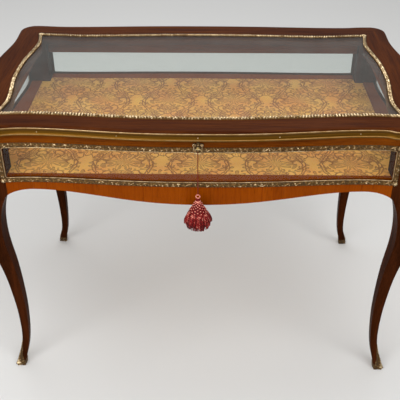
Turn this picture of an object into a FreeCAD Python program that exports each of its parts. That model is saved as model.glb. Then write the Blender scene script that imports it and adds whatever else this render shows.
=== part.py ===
"""Collectors display table: a serpentine table vitrine on four cabriole legs, with a hinged glazed
lid, gilt mounts, a lock with its key and a hanging tassel.  Millimetres, X right, Y back, Z up,
origin on the floor under the middle of the table."""
import FreeCAD, Part
import math
import os

V = FreeCAD.Vector

# ---------------------------------------------------------------- driving dimensions (mm)
# Plan: the lid and the case share the centres of their rounded corners.
corner_x = 490.0
corner_front = 279.0
corner_back = 288.5
lid_corner_radius = 43.0
case_corner_radius = 28.0
swell_power = 1.3            # above 1 the middle of a bow is flatter than a cosine

# Each edge in plan: rise of the bow above the dip, rise of the ear, run from the dip to the corner.
lid_front = dict(bow=25.5, ear=12.5, ear_run=90.0)
lid_side = dict(bow=18.0, ear=2.0, ear_run=72.0)
lid_back = dict(bow=10.0, ear=6.5, ear_run=90.0)
case_front = dict(bow=18.0, ear=6.0, ear_run=90.0)
case_side = dict(bow=12.0, ear=2.5, ear_run=72.0)
case_back = dict(bow=6.0, ear=3.5, ear_run=90.0)

# The glazed opening of the lid has pointed corners, inside the centres of the rounded ones in front.
light_inset = 20.0
light_front = dict(bow=22.0, ear=3.5, ear_run=65.0)
light_side = dict(bow=16.0, ear=8.0, ear_run=69.0)
light_back = dict(bow=10.5, ear=9.0, ear_run=130.0)

# Heights
leg_height = 565.0           # floor to the underside of the corner post
post_to_ledge = 62.0         # post's underside to the ledge inside the case
light_height = 79.0          # ledge to the frieze rail
frieze_height = 37.0
lid_gap = 0.5
lid_thickness = 26.5

# Timber
post_size = 62.5             # corner post, square before its outer faces are shaped
leg_top_width = 52.0
front_rail_depth = 28.0      # inner face of a rail behind the case's face at the corner
back_rail_depth = 35.5
side_rail_depth = 38.0
tenon_length = 14.0
tenon_thickness = 10.0
tenon_shoulder = 7.0
tenon_setback = 6.0          # tenon's inner cheek behind the rail's inner face
joint_clearance = 0.2

# Apron's shaped lower edge
arch_rise = 31.0             # top of the arch above the post's underside
arch_at = 74.0               # top of the arch, from the leg
front_rise = 1.0             # middle of the long aprons, above the post's underside
side_rise = 9.0
long_flat = 165.0            # how far the middle keeps its depth
long_ease = 125.0
curl_roundness = 0.55        # 0.55 makes the curl beside the leg a quarter ellipse

# Glazing
glass_thickness = 3.0
glass_setback = 3.5          # case face to the glass
rebate_margin = 5.0          # how far the glass runs into the wood
rebate_room = 0.7
glass_top_margin = 7.0
slip_reveal = 4.0            # brass slip beyond the edge of the wood
slip_top_reveal = 2.0
seat_gap = 0.15              # face of a planted mount to the wood behind it

# Foliate frames on the case
frame_proud = 4.5
frame_width = 12.0
frame_top = 16.0             # above the frieze's lower edge
frame_low = 11.0             # below the ledge
frame_side = 10.5            # beyond the edge of the opening

# Lid
lid_glass_thickness = 5.0
bead_width = 11.5
bead_height = 4.5
bead_step = 2.3              # width of the step on each side of a bead
lid_ledge = 10.5
lid_rebate = 3.5
moulding_depth = 5.0
moulding_low = 0.2
moulding_high = 20.5
lip_height = 4.0
upper_lip_height = 5.0
lower_lip_back = 0.3         # lower lip behind the upper one
cavetto_depth = 2.8
lid_round = 5.0
wood_proud = 1.2             # lid's top edge behind the lip of the moulding

# Floor
board_thickness = 5.0
damask_thickness = 2.0
cleat_size = 12.0
floor_room = 0.5

# Legs: share of the leg's height, outer face beyond the post, width, radius of the outer corner
leg_stations = [
    (1.000, 0.0, 52.0, 28.0),
    (0.965, 7.0, 51.5, 22.0),
    (0.920, 10.5, 50.0, 16.0),
    (0.830, 11.5, 47.5, 12.0),
    (0.735, 4.5, 42.5, 9.0),
    (0.634, -6.0, 37.0, 7.5),
    (0.540, -13.5, 32.5, 6.5),
    (0.440, -18.8, 29.0, 5.5),
    (0.350, -22.3, 26.0, 5.0),
    (0.250, -23.8, 22.5, 4.5),
    (0.160, -22.3, 20.0, 4.0),
    (0.085, -15.0, 20.0, 4.0),
    (0.007, -4.0, 20.0, 4.0),
]
front_leg_shift = 4.0        # front feet stand this much further in along Y than along X
rear_leg_shift = 14.0        # rear feet stand this much further in along X

# Sabots: height, inner face and outer face beyond the leg's outer face at the floor, corner radius
sabot_stations = [
    (0.0, -24.0, 7.0, 5.0),
    (10.0, -25.0, 9.0, 6.0),
    (22.0, -26.0, 6.0, 6.0),
    (36.0, -29.0, -1.0, 5.5),
    (55.0, -34.5, -9.5, 5.0),
    (84.0, -42.0, -16.0, 4.5),
]
sabot_clearance = 0.25
sabot_back_height = 46.0     # height at the inner corner, where the collar is lowest
sabot_front_height = 82.0    # tip of the leaf at the outer corner
sabot_slope_in = 28.0        # middle of the slope, inside the leg's outer faces

# Corner mounts on the posts
mount_thickness = 3.8
mount_below_top = 25.0       # mount's top below the case's
mount_head_height = 18.0     # top to the widest place
mount_body_height = 60.0     # widest place to the waist
mount_tail_height = 34.0     # waist to the tip
mount_half_width = 23.0
mount_top_half = 16.0
mount_waist_half = 9.0

# Hinges
hinge_at = 300.0
hinge_length = 60.0
hinge_offset = 3.5           # knuckle axis behind the case's back face
knuckle_radius = 3.2
hinge_pin_radius = 1.5
pin_clearance = 0.05
leaf_thickness = 1.5
leaf_depth = 30.0
knuckle_gap = 0.3
barrel_room = 0.5

# Fastenings
screw_radius = 1.5
screw_head_radius = 3.0
screw_head_height = 1.5
screw_length = 14.0
screw_spread = 21.5          # outer screws of a leaf, from its middle
outer_screw_in = 18.5        # screws from the knuckle's axis
middle_screw_in = 24.5
hole_room = 0.12
pin_head_radius = 1.4
pin_head_height = 1.5
pin_shank_radius = 0.7
pin_length = 9.0
pin_seat_gap = 0.1
moulding_pin_pitch = 182.0

# Lock and key
key_below_top = 21.0         # key's axis below the case's top
key_shank_radius = 2.0
keyhole_radius = 2.7
keyhole_slot = 8.0
keyhole_width = 2.6
lock_width = 44.0
lock_depth = 12.0
lock_drop = 13.0             # lock case below the key's axis
lock_wall = 1.5
selvage_overhang = 4.0
lock_pin_inset = 2.2         # lock's pins, from the ends of its selvage
guide_thickness = 2.0        # runners of the bolt inside the lock
bolt_height = 4.0
bolt_depth = 3.0
bolt_rise = 10.0             # bolt's underside above the key's axis
bolt_length = 16.5
bolt_at = 3.5                # bolt's tip at rest, from the staple's middle
bolt_room = 0.3
staple_width = 7.0
staple_thickness = 3.0
staple_room = 0.8
staple_drop = 8.0            # staple's foot above the key's axis
strike_length = 40.0
strike_width = 12.0
strike_thickness = 2.0
strike_screw_at = 14.5
bit_reach = 6.0
bit_width = 5.0
bit_thickness = 2.0
key_collar_radius = 3.6
key_collar_length = 3.0
key_collar_gap = 1.5         # collar to the escutcheon
bow_radius = 10.0
bow_wire = 1.3
bow_standoff = 19.0          # case face to the middle of the bow
escutcheon_thickness = 2.5
escutcheon_lobes = [         # x, z from the keyhole, radius
    (0.0, 0.0, 9.0),
    (-8.5, 7.0, 4.5),
    (8.5, 7.0, 4.5),
    (-8.0, -7.0, 4.0),
    (8.0, -7.0, 4.0),
    (0.0, 9.5, 4.5),
    (0.0, -9.0, 4.5),
]

# Tassel: radius at each drop below the cord's lower end
cord_radius = 1.0
cord_length = 105.0
cord_gap = 0.3
cord_start = 1.0             # cord's upper end below the key's axis
tassel_ring_radius = 5.5
tassel_ring_wire = 1.8
tassel_profile = [
    (14.0, 5.0),
    (21.0, 8.0),
    (32.0, 15.0),
    (46.0, 25.0),
    (60.0, 33.0),
    (74.0, 36.0),
    (83.0, 32.0),
    (88.0, 25.0),
]

# ---------------------------------------------------------------- derived levels and reaches
z_post = leg_height
z_ledge = z_post + post_to_ledge
z_frieze = z_ledge + light_height
z_case_top = z_frieze + frieze_height
z_lid = z_case_top + lid_gap
z_lid_top = z_lid + lid_thickness
side_centre = (corner_back - corner_front) / 2.0
front_ledge = corner_front + case_corner_radius - front_rail_depth
back_ledge = corner_back + case_corner_radius - back_rail_depth
side_ledge = corner_x + case_corner_radius - side_rail_depth
light_x = corner_x - light_inset
light_y = corner_front - light_inset
mount_top = z_case_top - mount_below_top
mount_shoulder = mount_top - mount_head_height
mount_waist = mount_shoulder - mount_body_height
mount_tip = mount_waist - mount_tail_height
key_height = z_case_top - key_below_top
diagonal = math.sqrt(0.5)    # share of a radius along X or Y at 45 degrees
past = 1.0                   # how far a cutter runs past the face it opens

SIDES = ("front", "right", "back", "left")
plan = {
    "lid": dict(radius=lid_corner_radius, front=lid_front, right=lid_side, back=lid_back, left=lid_side),
    "case": dict(radius=case_corner_radius, front=case_front, right=case_side, back=case_back, left=case_side),
}
corner_reach = dict(front=corner_front, right=corner_x, back=corner_back, left=corner_x)
corner_along = dict(front=corner_x, right=corner_back - side_centre, back=corner_x,
                    left=corner_back - side_centre)
curve_steps = 8


def swell(u, reach, corner_at, bow, ear, ear_run):
    """Distance of a serpentine edge from the middle of the table; reach is its ear's."""
    dip, dip_at = reach - ear, corner_at - ear_run
    if abs(u) <= dip_at:
        return dip + bow * (1 + math.cos(math.pi * (abs(u) / dip_at) ** swell_power)) / 2
    share = (abs(u) - dip_at) / ear_run
    return dip + ear * (1 - math.cos(math.pi * share)) / 2


def reach_of(family, side, u=0.0):
    """Outward distance of the lid's or the case's edge at u along a side."""
    shape = plan[family]
    reach = corner_reach[side] + shape["radius"]
    return swell(u, reach, corner_along[side], **shape[side])


def at(side, u, v, z=0.0, centre=None):
    """Point u along a side and v outward from the middle of the table."""
    middle = side_centre if centre is None else centre
    return {"front": V(u, -v, z), "back": V(u, v, z),
            "right": V(v, middle + u, z), "left": V(-v, middle + u, z)}[side]


def outward(side):
    return {"front": V(0, -1, 0), "back": V(0, 1, 0), "right": V(1, 0, 0), "left": V(-1, 0, 0)}[side]


def along(side):
    return V(1, 0, 0) if side in ("front", "back") else V(0, 1, 0)


def smooth_edge(points, direction):
    curve = Part.BSplineCurve()
    curve.interpolate(Points=points, InitialTangent=direction, FinalTangent=direction)
    return curve.toShape()


def facing(family, side, u):
    """Direction straight out of a serpentine edge at u along a side."""
    step = 1.0
    slope = (reach_of(family, side, u + step) - reach_of(family, side, u - step)) / (2 * step)
    return (outward(side) - along(side) * slope).normalize()


def edge_of(family, side, inset):
    """A side's serpentine edge from corner to corner, moved inward by inset."""
    end = corner_along[side]
    us = [end * k / curve_steps for k in range(-curve_steps, curve_steps + 1)]
    points = [at(side, u, reach_of(family, side, u) - inset) for u in us]
    return smooth_edge(points, along(side))


def line(a, b):
    return Part.LineSegment(a, b).toShape()


def closed(edges):
    return Part.Wire(Part.sortEdges(edges)[0])


def outline(family, inset, z=0.0):
    """The closed serpentine outline with rounded corners, moved inward by inset."""
    edges = [edge_of(family, side, inset) for side in SIDES]
    radius = plan[family]["radius"] - inset
    for sx in (-1, 1):
        for sy, reach in ((-1, corner_front), (1, corner_back)):
            centre = V(sx * corner_x, sy * reach, 0)
            a = centre + V(sx * radius, 0, 0)
            b = centre + V(0, sy * radius, 0)
            mid = centre + V(sx * radius, sy * radius, 0) * diagonal
            edges.append(Part.Arc(a, mid, b).toShape())
    wire = closed(edges)
    wire.translate(V(0, 0, z))
    return wire


def prism(wire, z0, z1):
    face = Part.Face(wire)
    face.translate(V(0, 0, z0))
    return face.extrude(V(0, 0, z1 - z0))


def plate(family, inset, z0, z1):
    return prism(outline(family, inset), z0, z1)


def strip(family, side, outer, inner, z0, z1):
    """A band along a side between two insets of its edge."""
    a, b = edge_of(family, side, outer), edge_of(family, side, inner)
    ends = [line(a.Vertexes[k].Point, b.Vertexes[k].Point) for k in (0, 1)]
    return prism(closed([a, b] + ends), z0, z1)


def box(x0, x1, y0, y1, z0, z1):
    return Part.makeBox(x1 - x0, y1 - y0, z1 - z0, V(x0, y0, z0))


def side_box(side, u0, u1, v0, v1, z0, z1):
    """A box given along a side and outward from the middle of the table."""
    a, b = at(side, u0, v0), at(side, u1, v1)
    return box(min(a.x, b.x), max(a.x, b.x), min(a.y, b.y), max(a.y, b.y), z0, z1)


def cylinder(radius, length, point, axis):
    return Part.makeCylinder(radius, length, point, axis)


def fuse(shapes):
    shapes = list(shapes)
    return shapes[0].fuse(shapes[1:]) if len(shapes) > 1 else shapes[0]


def ledge_of(side):
    """Inner face of a side's rails, from the middle of the table."""
    return dict(front=front_ledge, back=back_ledge, right=side_ledge, left=side_ledge)[side]


def post_edge(side):
    """Inner face of a post, from the middle of a side."""
    return corner_along[side] + case_corner_radius - post_size


def corner_centre(sx, sy):
    return V(sx * corner_x, sy * (corner_front if sy < 0 else corner_back), 0)


parts = {}
far = 2 * (corner_x + lid_corner_radius)     # beyond every face of the table


# ---------------------------------------------------------------- aprons' shaped lower edge
def half_span(side):
    """Middle of a side to the inner face of the leg."""
    return corner_along[side] + case_corner_radius - leg_top_width


def under_arch(side):
    """The space under an apron: a cutter right through the table."""
    end = half_span(side)
    top = end - arch_at
    scale = top / (half_span("front") - arch_at)
    rise = front_rise if side in ("front", "back") else side_rise
    z_mid, z_top = z_post + rise, z_post + arch_rise

    def point(u, z):
        return at(side, u, 0, z)

    edges = []
    for s in (-1, 1):
        flat = Part.BezierCurve()
        flat.setPoles([point(0, z_mid), point(s * long_flat * scale, z_mid),
                       point(s * (top - long_ease * scale), z_top), point(s * top, z_top)])
        curl = Part.BezierCurve()
        curl.setPoles([point(s * top, z_top), point(s * (top + curl_roundness * arch_at), z_top),
                       point(s * end, z_post + curl_roundness * arch_rise), point(s * end, z_post)])
        edges += [flat.toShape(), curl.toShape()]
    low = z_post - 2 * arch_rise
    edges += [line(point(-end, z_post), point(-end, low)), line(point(end, z_post), point(end, low)),
              line(point(-end, low), point(end, low))]
    face = Part.Face(closed(edges))
    face.translate(outward(side) * -far)
    return face.extrude(outward(side) * 2 * far)


def rail_tenons(side, z0, z1, room=0.0):
    """Tenons at both ends of a rail; with room they are the mortises."""
    end = post_edge(side)
    v0 = ledge_of(side) + tenon_setback
    cheeks = (v0 - room, v0 + tenon_thickness + room)
    heights = (z0 + tenon_shoulder - room, z1 - tenon_shoulder + room)
    return fuse([side_box(side, *sorted((s * end, s * (end + tenon_length + room))), *cheeks, *heights)
                 for s in (-1, 1)])


def rail(side, z0, z1):
    """A curved rail between two posts, straight on its inner face."""
    end = post_edge(side)
    blank = side_box(side, -end, end, ledge_of(side), far, z0, z1)
    return plate("case", 0, z0, z1).common(blank)


def glass_rebate(side):
    """Room for the glass and its brass slip, open to the case's face."""
    end = post_edge(side) + rebate_margin + rebate_room
    back = glass_setback + glass_thickness + rebate_room / 2
    z0 = z_ledge - rebate_margin - rebate_room
    z1 = z_frieze + glass_top_margin + rebate_room
    return strip("case", side, -past, back, z0, z1).common(side_box(side, -end, end, 0, far, z0, z1))


arches = {side: under_arch(side) for side in SIDES}
rebates = {side: glass_rebate(side) for side in SIDES}
rail_levels = {"apron": (z_post + arch_rise, z_ledge), "frieze": (z_frieze, z_case_top)}

for side in SIDES:
    apron = rail(side, z_post - past, z_ledge).cut(arches[side])
    apron = apron.fuse(rail_tenons(side, *rail_levels["apron"])).cut(rebates[side])
    frieze = rail(side, *rail_levels["frieze"]).fuse(rail_tenons(side, *rail_levels["frieze"]))
    parts["apron_" + side] = apron
    parts["frieze_" + side] = frieze.cut(rebates[side])


# ---------------------------------------------------------------- legs and posts
def leg_section(sx, sy, z, outer_x, outer_y, width, radius):
    """A leg's section: three crisp arrises and a rounded outer corner."""
    x1, y1 = outer_x, outer_y
    x0, y0 = x1 - width, y1 - width
    mid = radius * (1 - diagonal)

    def p(x, y):
        return V(sx * x, sy * y, z)

    edges = [line(p(x0, y0), p(x0, y1)), line(p(x0, y1), p(x1 - radius, y1)),
             Part.Arc(p(x1 - radius, y1), p(x1 - mid, y1 - mid), p(x1, y1 - radius)).toShape(),
             line(p(x1, y1 - radius), p(x1, y0)), line(p(x1, y0), p(x0, y0))]
    return Part.Wire(edges)


def post_face(sy):
    return (corner_front if sy < 0 else corner_back) + case_corner_radius


def leg_faces(sy, share, out):
    """Outer faces of a leg, along X and Y, at a share of its height."""
    lean = math.sin(math.pi / 2 * (1 - share))
    x_shift = rear_leg_shift * lean if sy > 0 else 0.0
    y_shift = front_leg_shift * lean if sy < 0 else 0.0
    return corner_x + case_corner_radius + out - x_shift, post_face(sy) + out - y_shift


def leg_blank(sx, sy, grow=0.0):
    """The cabriole leg below its post, or a slightly larger one to cut its sabot with."""
    wires = []
    for share, out, width, radius in leg_stations:
        x_out, y_out = leg_faces(sy, share, out)
        wires.append(leg_section(sx, sy, share * leg_height, x_out + grow, y_out + grow,
                                 width + 2 * grow, radius + grow))
    return Part.makeLoft(wires, True, False)


def post(sx, sy):
    x_in, y_in = post_edge("front"), post_face(sy) - post_size
    block = plate("case", 0, z_post, z_case_top)
    xs, ys = sorted((sx * x_in, sx * far)), sorted((sy * y_in, sy * far))
    block = block.common(box(*xs, *ys, z_post, z_case_top))
    sides = ("front" if sy < 0 else "back", "right" if sx > 0 else "left")
    for side in sides:
        block = block.cut(arches[side]).cut(rebates[side])
        for levels in rail_levels.values():
            block = block.cut(rail_tenons(side, *levels, room=joint_clearance))
    return block


CORNERS = {"front_left": (-1, -1), "front_right": (1, -1), "rear_left": (-1, 1), "rear_right": (1, 1)}
for corner, (sx, sy) in CORNERS.items():
    parts["leg_" + corner] = post(sx, sy).fuse(leg_blank(sx, sy)).removeSplitter()


# ---------------------------------------------------------------- sabots and corner mounts
def sabot(sx, sy):
    """A cast shoe round the foot, its collar rising to a leaf at the outer corner."""
    x_foot, y_foot = leg_faces(sy, 0.0, leg_stations[-1][1])
    wires = [leg_section(sx, sy, z, x_foot + out, y_foot + out, out - inn, radius)
             for z, inn, out, radius in sabot_stations]
    cast = Part.makeLoft(wires, True, False)
    # The collar is cut to a slope that falls towards the table's middle.
    run = sabot_stations[-1][0]
    slope = math.atan2(sabot_front_height - sabot_back_height, run / 2)
    blade = Part.makeBox(4 * run, 4 * run, 2 * run, V(-2 * run, -2 * run, 0))
    blade.rotate(V(0, 0, 0), V(0, 1, 0), -math.degrees(slope))
    blade.rotate(V(0, 0, 0), V(0, 0, 1), math.degrees(math.atan2(sy, sx)))
    middle = (sabot_front_height + sabot_back_height) / 2
    blade.translate(V(sx * (x_foot - sabot_slope_in), sy * (y_foot - sabot_slope_in), middle))
    return cast.cut(blade).cut(leg_blank(sx, sy, sabot_clearance))


def corner_mount(sx, sy):
    """A gilt mount that wraps the rounded corner of a post and tapers to a tip."""
    ring = plate("case", -mount_thickness, mount_tip, mount_top)
    ring = ring.cut(plate("case", -seat_gap, mount_tip, mount_top))
    shape = [(-mount_half_width, mount_shoulder), (-mount_top_half, mount_top),
             (mount_top_half, mount_top), (mount_half_width, mount_shoulder),
             (mount_waist_half, mount_waist), (0, mount_tip), (-mount_waist_half, mount_waist)]
    tangent = V(sx, -sy, 0) * diagonal
    centre = corner_centre(sx, sy)
    points = [centre + tangent * t + V(0, 0, z) for t, z in shape]
    face = Part.Face(Part.makePolygon(points + points[:1]))
    return ring.common(face.extrude(V(sx, sy, 0) * (2 * lid_corner_radius)))


for corner, (sx, sy) in CORNERS.items():
    parts["sabot_" + corner] = sabot(sx, sy)
    parts["corner_mount_" + corner] = corner_mount(sx, sy)

# ---------------------------------------------------------------- glazing of the case
z_glass = (z_ledge - rebate_margin, z_frieze + glass_top_margin)
for side in SIDES:
    reach = post_edge(side) + rebate_margin
    window = side_box(side, -reach, reach, 0, far, *z_glass)
    parts["glass_" + side] = strip("case", side, glass_setback, glass_setback + glass_thickness,
                                   *z_glass).common(window)
    light_end = post_edge(side) - slip_reveal
    light = side_box(side, -light_end, light_end, 0, far, z_ledge + slip_reveal, z_frieze + slip_top_reveal)
    parts["glass_slip_" + side] = strip("case", side, seat_gap, glass_setback - seat_gap,
                                        *z_glass).common(window).cut(light)
    outer = post_edge(side) + frame_side
    inner = outer - frame_width
    levels = (z_ledge - frame_low, z_frieze + frame_top)
    ring = strip("case", side, -frame_proud, -seat_gap, *levels)
    ring = ring.common(side_box(side, -outer, outer, 0, far, *levels))
    parts["foliate_frame_" + side] = ring.cut(
        side_box(side, -inner, inner, 0, far, levels[0] + frame_width, levels[1] - frame_width))

# ---------------------------------------------------------------- floor of the case
z_damask = z_ledge - damask_thickness
z_board = z_damask - board_thickness


def floor_plan(room, z0, z1):
    blank = box(-side_ledge + room, side_ledge - room, -front_ledge + room, back_ledge - room, z0, z1)
    for sx, sy in CORNERS.values():
        x_in = post_edge("front") - room
        y_in = post_face(sy) - post_size - room
        blank = blank.cut(box(*sorted((sx * x_in, sx * far)), *sorted((sy * y_in, sy * far)), z0, z1))
    return blank


parts["floor_board"] = floor_plan(floor_room, z_board, z_damask)
parts["damask_lining"] = floor_plan(2 * floor_room, z_damask, z_ledge)
cleats = []
for side in SIDES:
    end = post_edge(side) - cleat_size
    ledge = ledge_of(side)
    cleats.append(side_box(side, -end, end, ledge - cleat_size, ledge, z_board - cleat_size, z_board))
parts["floor_cleats"] = Part.makeCompound(cleats)


# ---------------------------------------------------------------- lid
def light_edge(side, inset):
    """An edge of the lid's glazed opening, from corner to corner."""
    shape = dict(front=light_front, back=light_back, right=light_side, left=light_side)[side]
    ear, end = (light_y, light_x) if side in ("front", "back") else (light_x, light_y)
    us = [(end - inset) * k / curve_steps for k in range(-curve_steps, curve_steps + 1)]
    points = [at(side, u, swell(u * end / (end - inset), ear, end, **shape) - inset, centre=0.0) for u in us]
    return smooth_edge(points, along(side))


def light_plate(inset, z0, z1):
    return prism(closed([light_edge(side, inset) for side in SIDES]), z0, z1)


def lid_corner(sx, sy):
    """Outermost point of a rounded corner of the lid."""
    return corner_centre(sx, sy) + V(sx, sy, 0) * lid_corner_radius * diagonal


def light_corner(sx, sy):
    return V(sx * light_x, sy * light_y, 0)


def mitre_wedge(side, z0, z1):
    """Everything on one side of the lid, between the mitres through its corners."""
    ends = dict(front=((-1, -1), (1, -1)), right=((1, -1), (1, 1)),
                back=((1, 1), (-1, 1)), left=((-1, 1), (-1, -1)))[side]
    runs = [lid_corner(*end) - light_corner(*end) for end in ends]
    inner = [light_corner(*end) - run for end, run in zip(ends, runs)]
    outer = [lid_corner(*end) + run for end, run in zip(ends, runs)]
    corners = [inner[0], outer[0], outer[1], inner[1]]
    return prism(Part.makePolygon(corners + corners[:1]), z0, z1)

z_moulding = (z_lid + moulding_low, z_lid + moulding_high)
wood = plate("lid", wood_proud, z_lid, z_lid_top)
top_face = max(wood.Faces, key=lambda face: face.BoundBox.ZMin)
wood = wood.makeFillet(lid_round, top_face.Edges)
seat_levels = (z_lid - past, z_moulding[1] + seat_gap)
wood = wood.cut(plate("lid", -past, *seat_levels).cut(plate("lid", moulding_depth + seat_gap, *seat_levels)))
wood = wood.cut(light_plate(lid_ledge, z_lid - past, z_lid_top + past))
z_glass_seat = z_lid_top - lid_glass_thickness
wood = wood.cut(light_plate(lid_rebate, z_glass_seat, z_lid_top + past))

bead_low = (z_lid_top, z_lid_top + bead_height / 2)
bead_high = (z_lid_top + bead_height / 2, z_lid_top + bead_height)
bead = light_plate(0, *bead_low).fuse(light_plate(bead_step, *bead_high))
bead = bead.cut(light_plate(bead_width, *bead_low))
bead = bead.cut(light_plate(bead_width - bead_step, *bead_high))

lower_lip = (z_moulding[0], z_moulding[0] + lip_height)
upper_lip = (z_moulding[1] - upper_lip_height, z_moulding[1])
edge_moulding = fuse([plate("lid", lower_lip_back, *lower_lip),
                      plate("lid", cavetto_depth, lower_lip[1], upper_lip[0]),
                      plate("lid", 0, *upper_lip)])
edge_moulding = edge_moulding.cut(plate("lid", moulding_depth, *z_moulding))

for side in SIDES:
    wedge = mitre_wedge(side, z_lid - past, z_lid_top + bead_height + past)
    parts["lid_rail_" + side] = wood.common(wedge)
    parts["edge_moulding_" + side] = edge_moulding.common(wedge)
    parts["lid_bead_" + side] = bead.common(wedge)
parts["lid_glass"] = light_plate(lid_rebate + floor_room, z_glass_seat, z_lid_top)

# ---------------------------------------------------------------- hinges
hinge_y = reach_of("case", "back") + hinge_offset
hinge_z = z_case_top + lid_gap / 2
X_AXIS = V(1, 0, 0)


def knuckle(x, k0, k1, grow=0.0):
    return cylinder(knuckle_radius + grow, k1 - k0, V(x + k0, hinge_y, hinge_z), X_AXIS)


def hinge_leaf(x, z0, own, other):
    """A leaf's plate and its knuckles, cut clear of the other leaf's."""
    leaf = box(x - half, x + half, hinge_y - leaf_depth, hinge_y, z0, z0 + leaf_thickness)
    for k0, k1 in own:
        leaf = leaf.fuse(knuckle(x, k0, k1))
    for k0, k1 in other:
        leaf = leaf.cut(knuckle(x, k0 - knuckle_gap, k1 + knuckle_gap, knuckle_gap))
    bore = cylinder(hinge_pin_radius + pin_clearance, 2 * half, V(x - half, hinge_y, hinge_z), X_AXIS)
    return leaf.cut(bore)


half = hinge_length / 2
middle_half = half / 3
outer_knuckles = [(-half, -middle_half), (middle_half, half)]
middle_knuckle = [(-middle_half + knuckle_gap, middle_half - knuckle_gap)]
case_leaves, lid_leaves, hinge_pins, barrels, lid_recesses, case_recesses = [], [], [], [], [], []
for x in (-hinge_at, hinge_at):
    case_leaves.append(hinge_leaf(x, z_case_top - leaf_thickness, outer_knuckles, middle_knuckle))
    lid_leaves.append(hinge_leaf(x, z_lid, middle_knuckle, outer_knuckles))
    hinge_pins.append(cylinder(hinge_pin_radius, hinge_length, V(x - half, hinge_y, hinge_z), X_AXIS))
    barrels.append(knuckle(x, -half - barrel_room, half + barrel_room, barrel_room))
    span = (x - half - joint_clearance, x + half + joint_clearance)
    lid_recesses.append(box(*span, hinge_y - leaf_depth - joint_clearance, hinge_y,
                            z_lid, z_lid + leaf_thickness))
    case_recesses.append(box(*span, hinge_y - leaf_depth - joint_clearance, hinge_y,
                             z_case_top - leaf_thickness, z_case_top))


# ---------------------------------------------------------------- screws and pins
def screw(point, into, grow=0.0):
    """A countersunk screw whose head starts at point and whose shank runs along into."""
    head = Part.makeCone(screw_head_radius + grow, screw_radius + grow, screw_head_height, point, into)
    return head.fuse(cylinder(screw_radius + grow, screw_length + grow, point, into))


def round_pin(point, into, grow=0.0):
    """A round-headed pin; point is where its head meets the work."""
    shank = cylinder(pin_shank_radius + grow, pin_length + grow, point, into)
    if grow:
        return shank
    return shank.fuse(cylinder(pin_head_radius, pin_head_height, point - into * pin_head_height, into))


UP, DOWN = V(0, 0, 1), V(0, 0, -1)
case_screws, lid_screws, case_screw_holes, lid_screw_holes = [], [], [], []
for x in (-hinge_at, hinge_at):
    for k in (-1, 0, 1):
        y = hinge_y - (outer_screw_in if k else middle_screw_in)
        spot = x + k * screw_spread
        case_screws.append(screw(V(spot, y, z_case_top), DOWN))
        case_screw_holes.append(screw(V(spot, y, z_case_top), DOWN, hole_room))
        lid_screws.append(screw(V(spot, y, z_lid), UP))
        lid_screw_holes.append(screw(V(spot, y, z_lid), UP, hole_room))

# ---------------------------------------------------------------- lock, strike, bolt and key
face_y = -reach_of("case", "front")
lock_y = (-front_ledge - lock_depth, -front_ledge)
lock_mid_y = sum(lock_y) / 2
lock_z = (key_height - lock_drop, z_case_top)


def keyhole(y0, y1, room=0.0):
    """A keyhole cut along Y: a round and a slot below it."""
    radius, half = keyhole_radius + room, keyhole_width / 2 + room
    hole = cylinder(radius, y1 - y0, V(0, y0, key_height), V(0, 1, 0))
    return hole.fuse(box(-half, half, y0, y1, key_height - keyhole_slot - room, key_height))


lock_case = box(-lock_width / 2, lock_width / 2, *lock_y, *lock_z)
selvage_half = lock_width / 2 + selvage_overhang
selvage = box(-selvage_half, selvage_half, *lock_y, z_case_top - lock_wall, z_case_top)
inside_x = lock_width / 2 - lock_wall
cavity = box(-inside_x, inside_x, lock_y[0] + lock_wall, lock_y[1] - lock_wall,
             lock_z[0] + lock_wall, z_case_top - lock_wall)
bolt_z = key_height + bolt_rise
guide_from = bolt_at + bolt_height
guides = [box(guide_from, inside_x, lock_y[0] + lock_wall, lock_y[1] - lock_wall, z0, z1)
          for z0, z1 in ((bolt_z - guide_thickness - bolt_room, bolt_z - bolt_room),
                         (bolt_z + bolt_height + bolt_room, z_case_top - lock_wall))]
cavity = cavity.cut(fuse(guides))
staple_slot = box(-staple_thickness / 2 - staple_room, staple_thickness / 2 + staple_room,
                  lock_mid_y - staple_width / 2 - staple_room, lock_mid_y + staple_width / 2 + staple_room,
                  z_case_top - 2 * lock_wall, z_case_top)
lock_body = lock_case.fuse(selvage).cut(cavity).cut(staple_slot)
parts["lock_case"] = lock_body.cut(keyhole(lock_y[0] - past, lock_mid_y))
lock_mortise = box(-lock_width / 2 - joint_clearance, lock_width / 2 + joint_clearance,
                   lock_y[0] - joint_clearance, lock_y[1] + past, lock_z[0] - joint_clearance, z_case_top)
selvage_seat = box(-selvage_half - joint_clearance, selvage_half + joint_clearance,
                   lock_y[0] - joint_clearance, lock_y[1] + past, z_case_top - lock_wall, z_case_top)

bolt_y = (lock_mid_y - bolt_depth / 2, lock_mid_y + bolt_depth / 2)
parts["lock_bolt"] = box(bolt_at, bolt_at + bolt_length, *bolt_y, bolt_z, bolt_z + bolt_height)



def strike_plate(room=0.0):
    """The lock's plate in the lid, or with room its seat."""
    end, edge = strike_length / 2 + room, strike_width / 2 + room
    return box(-end, end, lock_mid_y - edge, lock_mid_y + edge, z_lid, z_lid + strike_thickness + room)


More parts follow.
